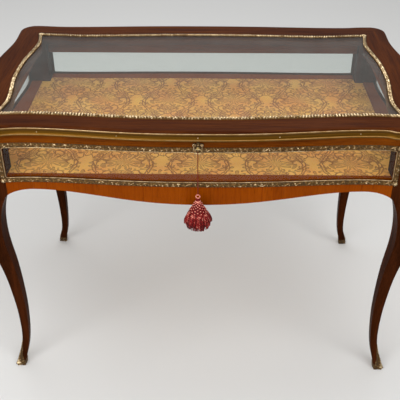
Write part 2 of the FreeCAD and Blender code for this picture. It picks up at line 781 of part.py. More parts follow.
strike_seat = strike_plate(joint_clearance)
staple = box(-staple_thickness / 2, staple_thickness / 2, lock_mid_y - staple_width / 2,
             lock_mid_y + staple_width / 2, key_height + staple_drop, z_lid)
eye = box(-staple_thickness, staple_thickness, bolt_y[0] - 2 * bolt_room, bolt_y[1] + 2 * bolt_room,
          bolt_z - 2 * bolt_room, bolt_z + bolt_height + 2 * bolt_room)
strike = strike_plate().fuse(staple).cut(eye)
for x in (-strike_screw_at, strike_screw_at):
    lid_screws.append(screw(V(x, lock_mid_y, z_lid), UP))
    lid_screw_holes.append(screw(V(x, lock_mid_y, z_lid), UP, hole_room))
for x in (-selvage_half + lock_pin_inset, selvage_half - lock_pin_inset):
    lock_pin = round_pin(V(x, lock_mid_y, z_case_top - pin_head_height), DOWN)
    case_screws.append(lock_pin)
    case_screw_holes.append(cylinder(pin_head_radius + hole_room, pin_length + pin_head_height + hole_room,
                                     V(x, lock_mid_y, z_case_top), DOWN))

bow_y = face_y - bow_standoff
bit_y = (lock_mid_y - bit_width / 2, lock_mid_y + bit_width / 2)
shank_y = bow_y + bow_radius
collar_y = face_y - escutcheon_thickness - key_collar_gap - key_collar_length
Y_AXIS = V(0, 1, 0)
shank = cylinder(key_shank_radius, bit_y[1] - shank_y, V(0, shank_y, key_height), Y_AXIS)
collar = cylinder(key_collar_radius, key_collar_length, V(0, collar_y, key_height), Y_AXIS)
bow = Part.makeTorus(bow_radius, bow_wire, V(0, bow_y, key_height), V(0, 0, 1))
bit = box(0, bit_reach, *bit_y, key_height - bit_thickness / 2, key_height + bit_thickness / 2)
parts["key"] = fuse([shank, collar, bow, bit])

shield = fuse([cylinder(radius, escutcheon_thickness, V(x, face_y - seat_gap, key_height + z), Y_AXIS * -1)
               for x, z, radius in escutcheon_lobes])
parts["escutcheon"] = shield.cut(keyhole(face_y - 2 * escutcheon_thickness, face_y + past))

# ---------------------------------------------------------------- tassel on its cord
cord_y = bow_y - bow_radius - bow_wire - cord_gap - cord_radius
cord_top = key_height - cord_start
cord_low = cord_top - cord_length
parts["tassel_cord"] = cylinder(cord_radius, cord_length, V(0, cord_y, cord_low), UP)
ring_z = cord_low - tassel_ring_radius - tassel_ring_wire
outline_points = [V(radius, 0, cord_low - drop) for drop, radius in tassel_profile]
skirt = Part.BSplineCurve()
skirt.interpolate(Points=outline_points)
top, low = outline_points[0], outline_points[-1]
bell = Part.Face(closed([skirt.toShape(), line(V(0, 0, top.z), top), line(low, V(0, 0, low.z)),
                         line(V(0, 0, low.z), V(0, 0, top.z))])).revolve(V(0, 0, 0), UP, 360)
bell.translate(V(0, cord_y, 0))
ring = Part.makeTorus(tassel_ring_radius, tassel_ring_wire, V(0, cord_y, ring_z), V(0, 1, 0))
parts["tassel"] = bell.fuse(ring)

# ---------------------------------------------------------------- fastenings and the holes for them
moulding_pins, moulding_pin_holes = [], []
for side in SIDES:
    count = int((corner_along[side] - lid_corner_radius) // moulding_pin_pitch)
    for k in range(-count, count + 1):
        u = k * moulding_pin_pitch
        out = facing("lid", side, u)
        spot = at(side, u, reach_of("lid", side, u) - cavetto_depth, (lower_lip[1] + upper_lip[0]) / 2)
        moulding_pins.append(round_pin(spot + out * pin_seat_gap, out * -1))
        moulding_pin_holes.append(cylinder(pin_shank_radius + hole_room, pin_length + hole_room + past,
                                           spot + out * past, out * -1))

mount_pins, mount_pin_holes = [], []
for sx, sy in CORNERS.values():
    out = V(sx, sy, 0) * diagonal
    for z in (mount_shoulder, mount_waist):
        spot = corner_centre(sx, sy) + out * (case_corner_radius + mount_thickness) + V(0, 0, z)
        mount_pins.append(round_pin(spot + out * pin_seat_gap, out * -1))
        mount_pin_holes.append(cylinder(pin_shank_radius + hole_room, pin_length + hole_room + past,
                                        spot + out * past, out * -1))


def drill(names, holes):
    cutter = Part.makeCompound(holes)
    for name in names:
        parts[name] = parts[name].cut(cutter)


drill(["frieze_back"], case_recesses + case_screw_holes)
drill(["frieze_front"], [lock_mortise, selvage_seat, keyhole(face_y - past, lock_y[0] + past)])
drill(["frieze_front", "lock_case"], case_screw_holes)
shield_box = shield.BoundBox
drill(["foliate_frame_front"],
      [box(shield_box.XMin - joint_clearance, shield_box.XMax + joint_clearance, -far, 0,
           shield_box.ZMin - joint_clearance, z_case_top)])
drill(["lid_rail_back"], lid_recesses + lid_screw_holes + barrels)
drill(["edge_moulding_back"], barrels)
drill(["lid_rail_front"], lid_screw_holes + [strike_seat])
drill(["lid_rail_" + side for side in SIDES], moulding_pin_holes)
drill(["edge_moulding_" + side for side in SIDES], moulding_pin_holes)
drill(["corner_mount_" + c for c in CORNERS] + ["leg_" + c for c in CORNERS], mount_pin_holes)

leaf_holes = Part.makeCompound(case_screw_holes)
parts["hinge_case_leaves"] = Part.makeCompound([leaf.cut(leaf_holes) for leaf in case_leaves] + hinge_pins)
parts["hinge_lid_leaves"] = Part.makeCompound([leaf.cut(Part.makeCompound(lid_screw_holes)) for leaf in lid_leaves])
parts["lock_strike"] = strike.cut(Part.makeCompound(lid_screw_holes))
parts["case_fixings"] = Part.makeCompound(case_screws + mount_pins)
parts["lid_screws"] = Part.makeCompound(lid_screws)
parts["edge_moulding_pins"] = Part.makeCompound(moulding_pins)

# ---------------------------------------------------------------- export
os.makedirs("parts", exist_ok=True)
for name, shape in parts.items():
    solids = shape.Solids
    whole = solids[0] if len(solids) == 1 else Part.makeCompound(solids)
    whole.exportStep("parts/" + name + ".step")
    print(name, len(solids), "valid" if whole.isValid() else "INVALID", round(whole.Volume / 1000.0, 1), "cm3")
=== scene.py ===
"""Collectors display table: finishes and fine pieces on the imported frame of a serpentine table
vitrine. Metres, X right, Y back, Z up, with the lock and the tassel facing -Y."""

import functools
import math

import bmesh
import bpy
import numpy as np
from mathutils import Matrix, Vector
from mathutils.bvhtree import BVHTree


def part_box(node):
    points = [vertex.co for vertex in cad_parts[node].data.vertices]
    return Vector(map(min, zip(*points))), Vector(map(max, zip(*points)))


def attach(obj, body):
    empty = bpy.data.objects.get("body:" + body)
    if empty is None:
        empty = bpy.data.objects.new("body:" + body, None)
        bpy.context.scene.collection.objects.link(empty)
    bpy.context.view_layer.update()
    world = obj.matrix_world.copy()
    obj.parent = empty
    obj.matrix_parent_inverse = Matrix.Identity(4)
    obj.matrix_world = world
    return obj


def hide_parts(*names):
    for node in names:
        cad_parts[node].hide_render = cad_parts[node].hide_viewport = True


bl_info = {
    "name": "Collectors display table",
    "version": (1, 0, 0),
    "blender": (4, 5, 0),
    "location": "View3D > Sidebar > Vitrine",
    "description": "Dresses a serpentine table vitrine: mahogany, gilt mounts, glass, damask and silk",
    "category": "Object",
}

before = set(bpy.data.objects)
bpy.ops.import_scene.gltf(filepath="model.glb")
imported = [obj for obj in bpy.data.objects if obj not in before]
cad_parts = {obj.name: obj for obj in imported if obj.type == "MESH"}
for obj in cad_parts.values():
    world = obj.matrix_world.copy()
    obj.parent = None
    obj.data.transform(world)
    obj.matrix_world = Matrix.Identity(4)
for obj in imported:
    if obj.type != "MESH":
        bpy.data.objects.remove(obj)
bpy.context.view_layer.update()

MM = 0.001
TURN = 2 * math.pi
UP = Vector((0, 0, 1))
OUT = {"front": Vector((0, -1, 0)), "right": Vector((1, 0, 0)),
       "back": Vector((0, 1, 0)), "left": Vector((-1, 0, 0))}
ALONG = {side: Vector((abs(out.y), abs(out.x), 0)) for side, out in OUT.items()}
CORNERS = {"front_left": (-1, -1), "front_right": (1, -1), "rear_left": (-1, 1), "rear_right": (1, 1)}
BEYOND = 2.0        # rays that look for a surface start this far out, beyond the table
ROOT = 0.1 * MM     # how deep a casting's edge sinks into what carries it


# -------------------- mesh tools
def skin(rings, looped=False):
    """Points and faces of a solid through rings of points; unless looped, its ends are capped."""
    rings = np.asarray(rings, float)
    count, around = rings.shape[:2]
    faces = []
    for i in range(count if looped else count - 1):
        a, b = i * around, (i + 1) % count * around
        faces += [(a + j, a + (j + 1) % around, b + (j + 1) % around, b + j) for j in range(around)]
    if not looped:
        faces += [tuple(range(around)), tuple(range((count - 1) * around, count * around))]
    return rings.reshape(-1, 3), faces


def evenly(solid, worn):
    """A solid with the same relief all over."""
    return solid, np.full(len(solid[0]), worn)


def joined(parts):
    """Several solids with their relief as one solid and one relief."""
    faces, start = [], 0
    for (points, part_faces), _ in parts:
        faces += [tuple(start + k for k in face) for face in part_faces]
        start += len(points)
    points = np.concatenate([solid[0] for solid, _ in parts])
    return (points, faces), np.concatenate([worn for _, worn in parts])


def piece(name, solid, body, finish, replaces=(), relief=None, angle=None):
    """A mesh object that rides on a body. relief, 0 to 1 at each point, tells the finish what is worn and
    where it paints shade and highlight; edges sharper than angle, in degrees, stay crisp."""
    points, faces = solid
    mesh = bpy.data.meshes.new(name)
    mesh.from_pydata(np.asarray(points, float).tolist(), [], faces)
    form = bmesh.new()
    form.from_mesh(mesh)
    bmesh.ops.recalc_face_normals(form, faces=form.faces)
    form.to_mesh(mesh)
    form.free()
    mesh.shade_smooth()
    if relief is not None:
        worn = mesh.attributes.new("relief", "FLOAT", "POINT")
        worn.data.foreach_set("value", np.asarray(relief, np.float32))
    obj = bpy.data.objects.new(name, mesh)
    bpy.context.scene.collection.objects.link(obj)
    if angle is not None:
        mesh.set_sharp_from_angle(angle=math.radians(angle))
    mesh.materials.append(bpy.data.materials[finish])
    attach(obj, body)
    if replaces:
        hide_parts(*replaces)
    return obj


def cast(name, parts, body, replaces=(), least=0.0, share=1.0):
    """Castings joined as one piece of gilt bronze; least and share turn their relief into wear and painted
    light.
    """
    solid, relief = joined(parts)
    return piece(name, solid, body, "gilt_bronze_cast", replaces, least + share * relief)


def silk(name, parts, replaces=()):
    """Parts of the tassel joined as one piece of crimson silk."""
    solid, relief = joined(parts)
    return piece(name, solid, "tassel", "tassel_silk", replaces, relief)


def circle(count):
    """Angles that share out a whole turn."""
    return np.linspace(0, TURN, count, endpoint=False)


def ring(centre, first, second, count):
    """Points round an ellipse that has two half axes."""
    theta = circle(count)[:, None]
    return np.asarray(centre) + np.cos(theta) * np.asarray(first) + np.sin(theta) * np.asarray(second)


def tube(path, radius, around=8, looped=False, twist=0.0, lobes=0, depth=0.0):
    """A round cord along a path. With lobes it is a rope whose strands turn by twist radians in all."""
    path = np.asarray(path, float)
    run = np.roll(path, -1, 0) - np.roll(path, 1, 0) if looped else np.gradient(path, axis=0)
    run /= np.linalg.norm(run, axis=1)[:, None]
    side = np.cross(run[0], (0, 0, 1.0) if abs(run[0][2]) < 0.9 else (1.0, 0, 0))
    sides = []
    for direction in run:
        side = side - direction * side.dot(direction)
        side = side / np.linalg.norm(side)
        sides.append(side)
    sides = np.array(sides)
    other = np.cross(run, sides)
    theta = circle(around)
    turn = np.linspace(0, twist, len(path), endpoint=not looped)
    ply = 1 + depth * np.cos(lobes * (theta - turn[:, None]))
    section = (np.broadcast_to(radius, len(path))[:, None] * ply)[..., None]
    spokes = sides[:, None] * np.cos(theta)[:, None] + other[:, None] * np.sin(theta)[:, None]
    return skin(path[:, None] + section * spokes, looped)


def lathe(profile, centre, around=48):
    """A solid of revolution about a vertical axis; profile lists radii and drops below the centre in mm."""
    return skin([ring(centre - np.array((0, 0, drop * MM)), (radius * MM, 0, 0), (0, radius * MM, 0), around)
                 for radius, drop in profile])


def surface_of(*nodes):
    """A tree of the faces of CAD nodes, to find where their surfaces lie."""
    points, faces = [], []
    for name in nodes:
        mesh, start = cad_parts[name].data, len(points)
        points += [v.co.copy() for v in mesh.vertices]
        faces += [tuple(start + k for k in polygon.vertices) for polygon in mesh.polygons]
    return BVHTree.FromPolygons(points, faces)


def edge_line(tree, side, us, z, inward=True):
    """Points of a side's edge at each u, seen from outside or, if not inward, from the middle."""
    line = []
    for u in us:
        start = ALONG[side] * u + UP * z + (OUT[side] * BEYOND if inward else Vector())
        line.append(tree.ray_cast(start, -OUT[side] if inward else OUT[side])[0])
    return np.array(line)


def on_face(tree, side, us, level, zs, sink):
    """Points at each u and each z that lie sink deep behind the edge which a side has at one level."""
    return edge_line(tree, side, us, level) * (1, 1, 0) + np.outer(zs, UP) - np.array(OUT[side]) * sink


def ends(side, node):
    """Where a CAD node starts and stops along a side, and its lowest and highest points."""
    low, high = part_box(node)
    return low.dot(ALONG[side]), high.dot(ALONG[side]), low.z, high.z


def heading(turn):
    """A level unit vector at an angle from X."""
    return Vector((math.cos(turn), math.sin(turn), 0))


def set_finish(nodes, finish):
    """Gives CAD nodes a material."""
    for name in nodes:
        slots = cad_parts[name].data.materials
        slots.clear()
        slots.append(bpy.data.materials[finish])


# -------------------- cast ornament
def scroll_relief(x, y, aspect):
    """Height, 0 to 1, of a running acanthus scroll. x counts its waves, y is -1 to 1 across the band,
    and aspect is a wave's length over half the band's width."""
    stem = np.exp(-((y - 0.5 * np.sin(TURN * x)) / 0.17) ** 2)
    height = 0.30 + 0.50 * stem
    for phase, bend in ((0.25, -0.30), (0.75, 0.30)):
        dx = ((x - phase + 0.5) % 1 - 0.5) * aspect
        dy = y - bend
        r, theta = np.hypot(dx, dy), np.arctan2(dy, dx)
        petal = np.clip(1 - r / (0.62 + 0.16 * np.cos(5 * theta)), 0, 1) ** 0.45
        height = np.maximum(height, petal * (0.78 + 0.22 * np.cos(5 * theta)) + 0.15 * (r < 0.16))
    tips = np.abs(y) ** 2 * (0.5 + 0.5 * np.cos(8 * math.pi * x + 2.5 * y)) ** 2
    return np.clip(height - 0.40 * np.abs(y) ** 4 + 0.55 * tips, 0.12, 1)


def bead_relief(x, y, aspect):
    """Height, 0 to 1, of a row of pearls beside a row of small leaves, one of each to a wave."""
    pearl = np.hypot(((x + 0.5) % 1 - 0.5) * aspect / 0.42, (y + 0.52) / 0.46)
    dx, dy = (x % 1 - 0.5) * aspect, y - 0.30
    leaf = np.hypot(dx / (0.46 - 0.16 * dy), dy / 0.68)
    vein = 0.75 + 0.25 * np.cos(9 * dx)
    return np.clip(np.maximum(1 - pearl ** 2, 0.9 * (1 - leaf ** 2) * vein), 0, 1) ** 0.5 * 0.9 + 0.1


def rubbing_and_glints(relief):
    """The relief unevenly worn: soft patches, a few points wide, have kept more or less of their gilding and
    break the painted highlights into glints.
    """
    rows, columns = relief.shape
    patch = 3
    chance = np.random.default_rng(5).uniform(0.30, 1.15, (rows // patch + 2, columns // patch + 2))
    wide = np.array([np.interp(np.arange(columns) / patch, np.arange(len(line)), line) for line in chance])
    kept = np.array([np.interp(np.arange(rows) / patch, np.arange(len(wide)), line) for line in wide.T]).T
    return relief * kept


def cast_band(low, high, out, height, wave, relief_of=scroll_relief):
    """A cast band between two edge lines on a surface, height thick, with scalloped edges."""
    middle = (low + high) / 2
    run = np.concatenate([[0], np.cumsum(np.linalg.norm(np.diff(middle, axis=0), axis=1))])
    waves = max(1, round(run[-1] / wave))
    x = run[:, None] / run[-1] * waves
    y = np.linspace(-1, 1, 13)[None, :]
    width = np.linalg.norm(high[len(high) // 2] - low[len(low) // 2])
    relief = relief_of(x, y, 2 * run[-1] / waves / width)
    scallop = 1 - 0.11 * (0.5 + 0.5 * np.cos(8 * math.pi * x))
    flat = low[:, None, :] + (high - low)[:, None, :] * (0.5 + 0.5 * y * scallop)[..., None]
    rings = np.concatenate([flat + out * (height * relief)[..., None], flat[:, (-1, 0)] - out * ROOT], axis=1)
    return skin(rings), np.concatenate([rubbing_and_glints(relief), np.zeros((len(x), 2))], axis=1).ravel()


def cast_leaf(place, half_width, length, height, lobes, rows=104, across=35, crown=0.0):
    """An acanthus leaf on any surface: place takes a sideways and a lengthwise offset and a height.
    half_width is a function of the share of the length from the tip; crown is the height of its boss."""
    v = np.linspace(0, 1, rows)[:, None]
    t = np.linspace(-1, 1, across)[None, :]
    lean = 0.9
    tooth = np.sin(math.pi * ((lobes * v + lean) % 1) ** 0.65) ** 0.7
    wide = half_width(v) * (0.74 + 0.26 * tooth)
    vein = np.sin(math.pi * ((lobes * v + lean * np.abs(t) ** 1.4) % 1) ** 0.65) ** 0.6
    rib = np.exp(-(t / 0.10) ** 2)
    furl = 1 - 0.55 * np.abs(t) ** 3
    relief = 0.22 + (0.16 + 0.42 * vein) * furl + 0.38 * rib * (1 - 0.4 * v)
    boss = np.clip(1 - ((v - 0.80) / 0.10) ** 2 - (t / 0.42) ** 2, 0, 1) ** 0.5
    relief = np.clip(np.maximum(relief, crown * boss), 0.15, 1)
    rings = [[place(wide[i, 0] * t[0, j], v[i, 0] * length, height * relief[i, j]) for j in range(across)]
             + [place(wide[i, 0] * side, v[i, 0] * length, -ROOT) for side in (1, -1)] for i in range(rows)]
    return skin(rings), np.concatenate([rubbing_and_glints(relief), np.zeros((rows, 2))], axis=1).ravel()


def cast_rosette(centre, out, side, radius, height):
    """A small domed rosette on a surface; side is a direction along that surface."""
    petals, rings, around = 8, 9, 36
    way = ring((0, 0, 0), side, out.cross(side), around)
    wave = np.cos(petals * circle(around))
    rim = (radius * (0.86 + 0.14 * wave))[:, None]
    loops, worn = [], []
    for share in np.linspace(0.04, 1, rings):
        lift = (1 - share ** 2) ** 0.5 * (0.62 + 0.30 * wave * share) + 0.35 * (share < 0.3)
        lift = np.clip(lift + 0.10 * (share > 0.3), 0.14, 1)
        loops.append(centre + way * rim * share + np.outer(lift, out) * height)
        worn.append(lift)
    loops.append(centre + way * rim - np.array(out) * ROOT)
    return skin(loops), np.concatenate([*worn, np.zeros(around)])


# -------------------- material tools
def colour(code):
    """A linear colour from an sRGB hex value."""
    values = [int(code[k:k + 2], 16) / 255 for k in (1, 3, 5)]
    return [v / 12.92 if v <= 0.04045 else ((v + 0.055) / 1.055) ** 2.4 for v in values] + [1.0]


def add_node(tree, kind, *values, out=0, stops=(), **named):
    """Adds a node with its settings and links and gives its first output, the one that out names, or all
    where out is None. A second word in kind is its operation. values, which may be outputs of other
    nodes, go to its sockets in order; named ones go to the socket, or in lower case to the setting, of
    that name. stops are a ramp's places with their colours or plain values."""
    kind, _, operation = kind.partition(" ")
    made = tree.nodes.new(kind if kind.startswith("Node") else "ShaderNode" + kind)
    if operation:
        made.operation = operation
    for key in [key for key in named if key.islower()]:
        setattr(made, key, named.pop(key))
    pairs = [*zip([socket for socket in made.inputs if socket.enabled], values)]
    pairs += [(made.inputs[key.replace("_", " ")], value) for key, value in named.items()]
    for socket, value in pairs:
        if isinstance(value, bpy.types.NodeSocket):
            tree.links.new(value, socket)
        else:
            socket.default_value = value
    for index, (place, value) in enumerate(stops):
        elements = made.color_ramp.elements
        element = elements[index] if index < 2 else elements.new(place)
        element.position = place
        element.color = (value, value, value, 1.0) if isinstance(value, float) else value
    given = [socket for socket in made.outputs if socket.enabled]
    return given if out is None or not given else made.outputs[out] if out else given[0]


def new_finish(name):
    """An empty material: what adds nodes to it, and the object's own coordinates."""
    material = bpy.data.materials.new(name)
    material.use_nodes = True
    material.node_tree.nodes.clear()
    node = functools.partial(add_node, material.node_tree)
    return node, node("TexCoord", out="Object")


# -------------------- finishes
def wood_finish(name, dark, light, grain, figure_mm=42.0, contrast=0.5, joints=(), shine=0.025):
    """French-polished mahogany: ribbon figure across the grain, fine fibres and short dark pores under
    an old polish that hardly mirrors. grain is the axis the fibres follow; joints are veneer seams at X."""
    node, place = new_finish(name)
    turn = {"X": (0, 0, 0), "Y": (0, 0, math.pi / 2), "Z": (0, math.pi / 2, 0)}[grain]
    turned = node("Mapping", Vector=place, Rotation=turn)
    layers = []
    # Ribbons, fibres and pores: width in mm, how far they draw out along the grain, and their noise.
    for width_mm, drawn, detail, rough, distortion in (
            (figure_mm, 0.10, 3.0, 0.55, 0.6), (3.2, 0.022, 5.0, 0.62, 0.25), (1.3, 0.05, 1.0, 0.4, 0.0)):
        scale = 1 / (width_mm * MM)
        spot = node("Mapping", Vector=turned, Scale=(scale * drawn, scale, scale))
        layers.append(node("TexNoise", Vector=spot, Scale=1.0, Detail=detail, Roughness=rough,
                           Distortion=distortion))
    ribbons, fibres, pores = layers
    broad = node("Math MULTIPLY", ribbons, 0.55)
    figured = node("Math MULTIPLY_ADD", fibres, 0.45, broad)
    spread = 0.18 * (1.4 - contrast)
    body = node("ValToRGB", figured, stops=[(0.5 - spread, colour(dark)), (0.5 + spread, colour(light))])
    pitted = node("ValToRGB", pores, stops=[(0.3, 0.45), (0.42, 1.0)])
    shade = node("Mix", 0.55, body, pitted, data_type="RGBA", blend_type="MULTIPLY")
    across = node("SeparateXYZ", place, out="X")
    for seam in joints:
        gap = node("Math COMPARE", across, seam, 0.9 * MM)
        shade = node("Mix", gap, shade, colour(dark), data_type="RGBA")
    gloss = node("ValToRGB", fibres, stops=[(0.3, 0.28), (0.7, 0.18)])
    dent = node("Bump", Strength=0.18, Distance=0.15 * MM, Height=pores)
    node("OutputMaterial", node("BsdfPrincipled", Base_Color=shade, Roughness=gloss, IOR=1.5, Normal=dent,
                                Specular_IOR_Level=shine))


def gilt_finish(name, tones, plain=None):
    """Cast bronze, fire-gilt and aged: the relief picks the tone, painted shade in the recesses over some
    real dirt, and painted highlights on the crests over rubbed gilding. A plain surface has no relief of its
    own and takes one value of wear and painted light all over."""
    node, place = new_finish(name)
    crest = node("Attribute", attribute_name="relief", out="Fac") if plain is None else plain
    cloud = node("TexNoise", Vector=place, Scale=1 / (7.0 * MM), Detail=4.0, Roughness=0.6)
    chase = node("TexNoise", Vector=place, Scale=1 / (1.4 * MM), Detail=2.0, Roughness=0.6)
    uneven = node("Math ADD", cloud, -0.5)
    wear = node("Math MULTIPLY_ADD", uneven, 0.9, crest)
    # Low values take the recess colour, a painted shade; high ones take the crest colour, a painted
    # highlight.
    shade = node("ValToRGB", wear, stops=[(0.25, tones.recess), (0.88, tones.crest), (0.58, tones.body)])
    rough = node("ValToRGB", wear, stops=[(0.25, 0.62), (0.85, 0.27)])
    metal = node("ValToRGB", wear, stops=[(0.2, 0.35), (0.5, 1.0)])
    dent = node("Bump", Strength=0.35, Distance=0.25 * MM, Height=chase)
    node("OutputMaterial", node("BsdfPrincipled", Base_Color=shade, Roughness=rough, Metallic=metal,
                                Normal=dent))


def brass_finish(name, dark, light, rough, cloud_mm=14.0, aged=None):
    """Drawn brass, lacquered and handled: cloudy tarnish and fine draw lines. An aged one keeps its
    tarnish where the relief is low."""
    node, place = new_finish(name)
    cloud = node("TexNoise", Vector=place, Scale=1 / (cloud_mm * MM), Detail=5.0, Roughness=0.62)
    fleck = node("TexNoise", Vector=place, Scale=1 / (1.6 * MM), Detail=2.0)
    shade = node("ValToRGB", cloud, stops=[(0.34, colour(dark)), (0.62, colour(light))])
    worn = node("ValToRGB", fleck, stops=[(0.35, rough + 0.16), (0.65, rough)])
    if aged:
        crest = node("Attribute", attribute_name="relief", out="Fac")
        shade = node("Mix", crest, colour(aged), shade, data_type="RGBA")
    dent = node("Bump", Strength=0.12, Distance=0.12 * MM, Height=fleck)
    node("OutputMaterial", node("BsdfPrincipled", Base_Color=shade, Roughness=worn, Metallic=1.0,
                                Normal=dent))


def glass_finish(name, tint, glint, dust):
    """Old sheet glass: clear, a breath of green, with the soft reflections of a polished sheet. dust is
    the share of the light that a dry film on it scatters, which greys what lies behind."""
    node, place = new_finish(name)
    drawn = node("TexNoise", Vector=place, Scale=1 / (90.0 * MM), Detail=1.0)
    wave = node("Bump", Strength=0.03, Distance=0.6 * MM, Height=drawn)
    # The sheet's far face takes the same reflection as its near one, so the inverse index is fed in there.
    index = 1.38
    within = node("NewGeometry", out="Backfacing")
    facing = node("Fresnel", IOR=node("MapRange", Value=within, To_Min=index, To_Max=1 / index))
    clear = node("BsdfTransparent", Color=tint)
    shine = node("BsdfGlossy", Color=(glint, glint, glint, 1.0), Roughness=0.02, Normal=wave)
    sheet = node("MixShader", facing, clear, shine)
    if dust:
        spots = node("TexNoise", Vector=place, Scale=1 / (60.0 * MM), Detail=3.0)
        share = node("ValToRGB", spots, stops=[(0.3, 0.7 * dust), (0.7, 1.3 * dust)])
        sheet = node("MixShader", share, sheet, node("BsdfDiffuse", Color=colour("#c6cac4")))
    node("OutputMaterial", sheet)


# Flowers of the woven motif: centre x, y, radius, petals, depth of the petals and a turn, in repeats.
DAMASK_FLOWERS = ((0.00, 0.06, 0.190, 9, 0.36, 0.0), (0.00, 0.31, 0.085, 5, 0.50, 0.0),
                  (0.00, -0.22, 0.100, 6, 0.45, 0.5), (0.21, 0.21, 0.085, 5, 0.55, 1.0),
                  (0.36, -0.08, 0.080, 5, 0.50, 2.0), (0.20, -0.36, 0.085, 5, 0.50, 0.3),
                  (0.43, 0.36, 0.080, 4, 0.50, 1.5))
# Its leafy scrolls: centre x, y, inner radius, growth for each radian and line width.
DAMASK_SCROLLS = ((0.29, 0.05, 0.080, 0.017, 0.010), (0.17, -0.16, 0.055, 0.013, 0.008),
                  (0.38, 0.21, 0.050, 0.012, 0.008), (0.40, -0.27, 0.060, -0.012, 0.008))


def damask_motif(slope):
    """A node group that draws one palmette with its scrolls: 1 on its outlines, about half inside them
    and 0 on the ground. Its input is a place in one repeat, from -0.5 to 0.5 each way; slope is the
    repeat's height over its width."""
    group = bpy.data.node_groups.new("damask_motif", "ShaderNodeTree")
    group.interface.new_socket("Place", in_out="INPUT", socket_type="NodeSocketVector")
    group.interface.new_socket("Figure", in_out="OUTPUT", socket_type="NodeSocketFloat")
    node = functools.partial(add_node, group)
    x, y, _ = node("SeparateXYZ", node("NodeGroupInput"), out=None)
    across = node("Math ABSOLUTE", x)
    halves = node("CombineXYZ", across, y)
    # A thin stem winds up beside the flowers.
    swing = node("Math COSINE", node("Math MULTIPLY", y, TURN))
    stem = node("Math MULTIPLY_ADD", swing, 0.13, 0.27)
    figure = node("Math COMPARE", across, stem, 0.008)
    for centre_x, centre_y, size, *form in DAMASK_FLOWERS + DAMASK_SCROLLS:
        offset = node("VectorMath SUBTRACT", halves, (centre_x, centre_y, 0))
        square = node("VectorMath MULTIPLY", offset, (1, slope, 0))
        r = node("VectorMath LENGTH", square)
        x, y, _ = node("SeparateXYZ", square, out=None)
        angle = node("Math ARCTAN2", x, y)
        if len(form) == 3:
            petals, depth, turn = form
            lobes, swing, foot = float(petals), size * depth, size * (1 - depth / 2)
        else:
            growth, line = form
            lobes, swing, foot, turn = 7.0, size * 0.5, size * 1.5, 0.0
        petal = node("Math COSINE", node("Math MULTIPLY_ADD", angle, lobes, turn))
        rim = node("Math MULTIPLY_ADD", petal, swing, foot)
        if len(form) == 3:
            # Strokes that fan out from the flower's heart are left in the ground colour.
            strokes = node("Math SINE", node("Math MULTIPLY", angle, 2 * lobes))
            woven = node("Math GREATER_THAN", strokes, -0.1)
            edge = node("Math COMPARE", r, rim, 0.009)
        else:
            coil = node("Math MULTIPLY_ADD", angle, growth, size)
            woven = node("Math GREATER_THAN", r, coil)
            edge = node("Math COMPARE", r, coil, line)
        filled = node("Math MULTIPLY", node("Math LESS_THAN", r, rim), woven)
        shape = node("Math MAXIMUM", node("Math MULTIPLY", filled, 0.6), edge)
        figure = node("Math MAXIMUM", figure, shape)
    node("NodeGroupOutput", figure)
    return group


def damask_finish(name, sizes, tones):
    """Silk damask: a satin ground of warm gold with its foliage woven matt and darker, in a half-drop
    repeat, over a fine warp-faced weave."""
    node, place = new_finish(name)
    # The foliage strays by up to 8 mm, as hand-drawn forms do.
    stir = node("TexNoise", Vector=place, Scale=1 / (26.0 * MM), Detail=2.0, out="Color")
    shift = node("VectorMath SUBTRACT", stir, (0.5, 0.5, 0.5))
    loose = node("VectorMath MULTIPLY_ADD", shift, (16 * MM,) * 3, place)
    repeat = (1 / sizes.repeat_width, 1 / sizes.repeat_height, 1.0)
    counted = node("VectorMath MULTIPLY", loose, repeat)
    motif = damask_motif(sizes.repeat_height / sizes.repeat_width)
    figures = []
    for offset in (0.0, 0.5):
        part = node("VectorMath FRACTION", node("VectorMath ADD", counted, (offset, offset, 0.0)))
        centred = node("VectorMath SUBTRACT", part, (0.5, 0.5, 0.0))
        figures.append(node("Group", centred, node_tree=motif))
    figure = node("Math MAXIMUM", figures[0], figures[1])
    wear = node("TexNoise", Vector=place, Scale=1 / (70.0 * MM), Detail=3.0)
    ground = node("ValToRGB", wear, stops=[(0.35, tones.ground_dark), (0.65, tones.ground)])
    # The warp's threads are 1.1 mm apart.
    thread = node("TexWave", Vector=place, Scale=1 / (TURN * 1.1 * MM), Distortion=0.6, Detail=1.0,
                  bands_direction="Y", out="Fac")
    faded = node("Math MULTIPLY", figure, 0.82)
    shade = node("Mix", faded, ground, tones.figure, data_type="RGBA")
    lit = node("ValToRGB", thread, stops=[(0.0, 0.86), (1.0, 1.0)])
    rough = node("ValToRGB", figure, stops=[(0.0, 0.46), (1.0, 0.78)])
    raised = node("Math MULTIPLY_ADD", figure, 0.6, thread)
    dent = node("Bump", Strength=0.35, Distance=0.3 * MM, Height=raised)
    shade = node("Mix", 1.0, shade, lit, data_type="RGBA", blend_type="MULTIPLY")
    node("OutputMaterial", node("BsdfPrincipled", Base_Color=shade, Roughness=rough, Normal=dent,
                                Sheen_Weight=0.1, Sheen_Roughness=0.4))


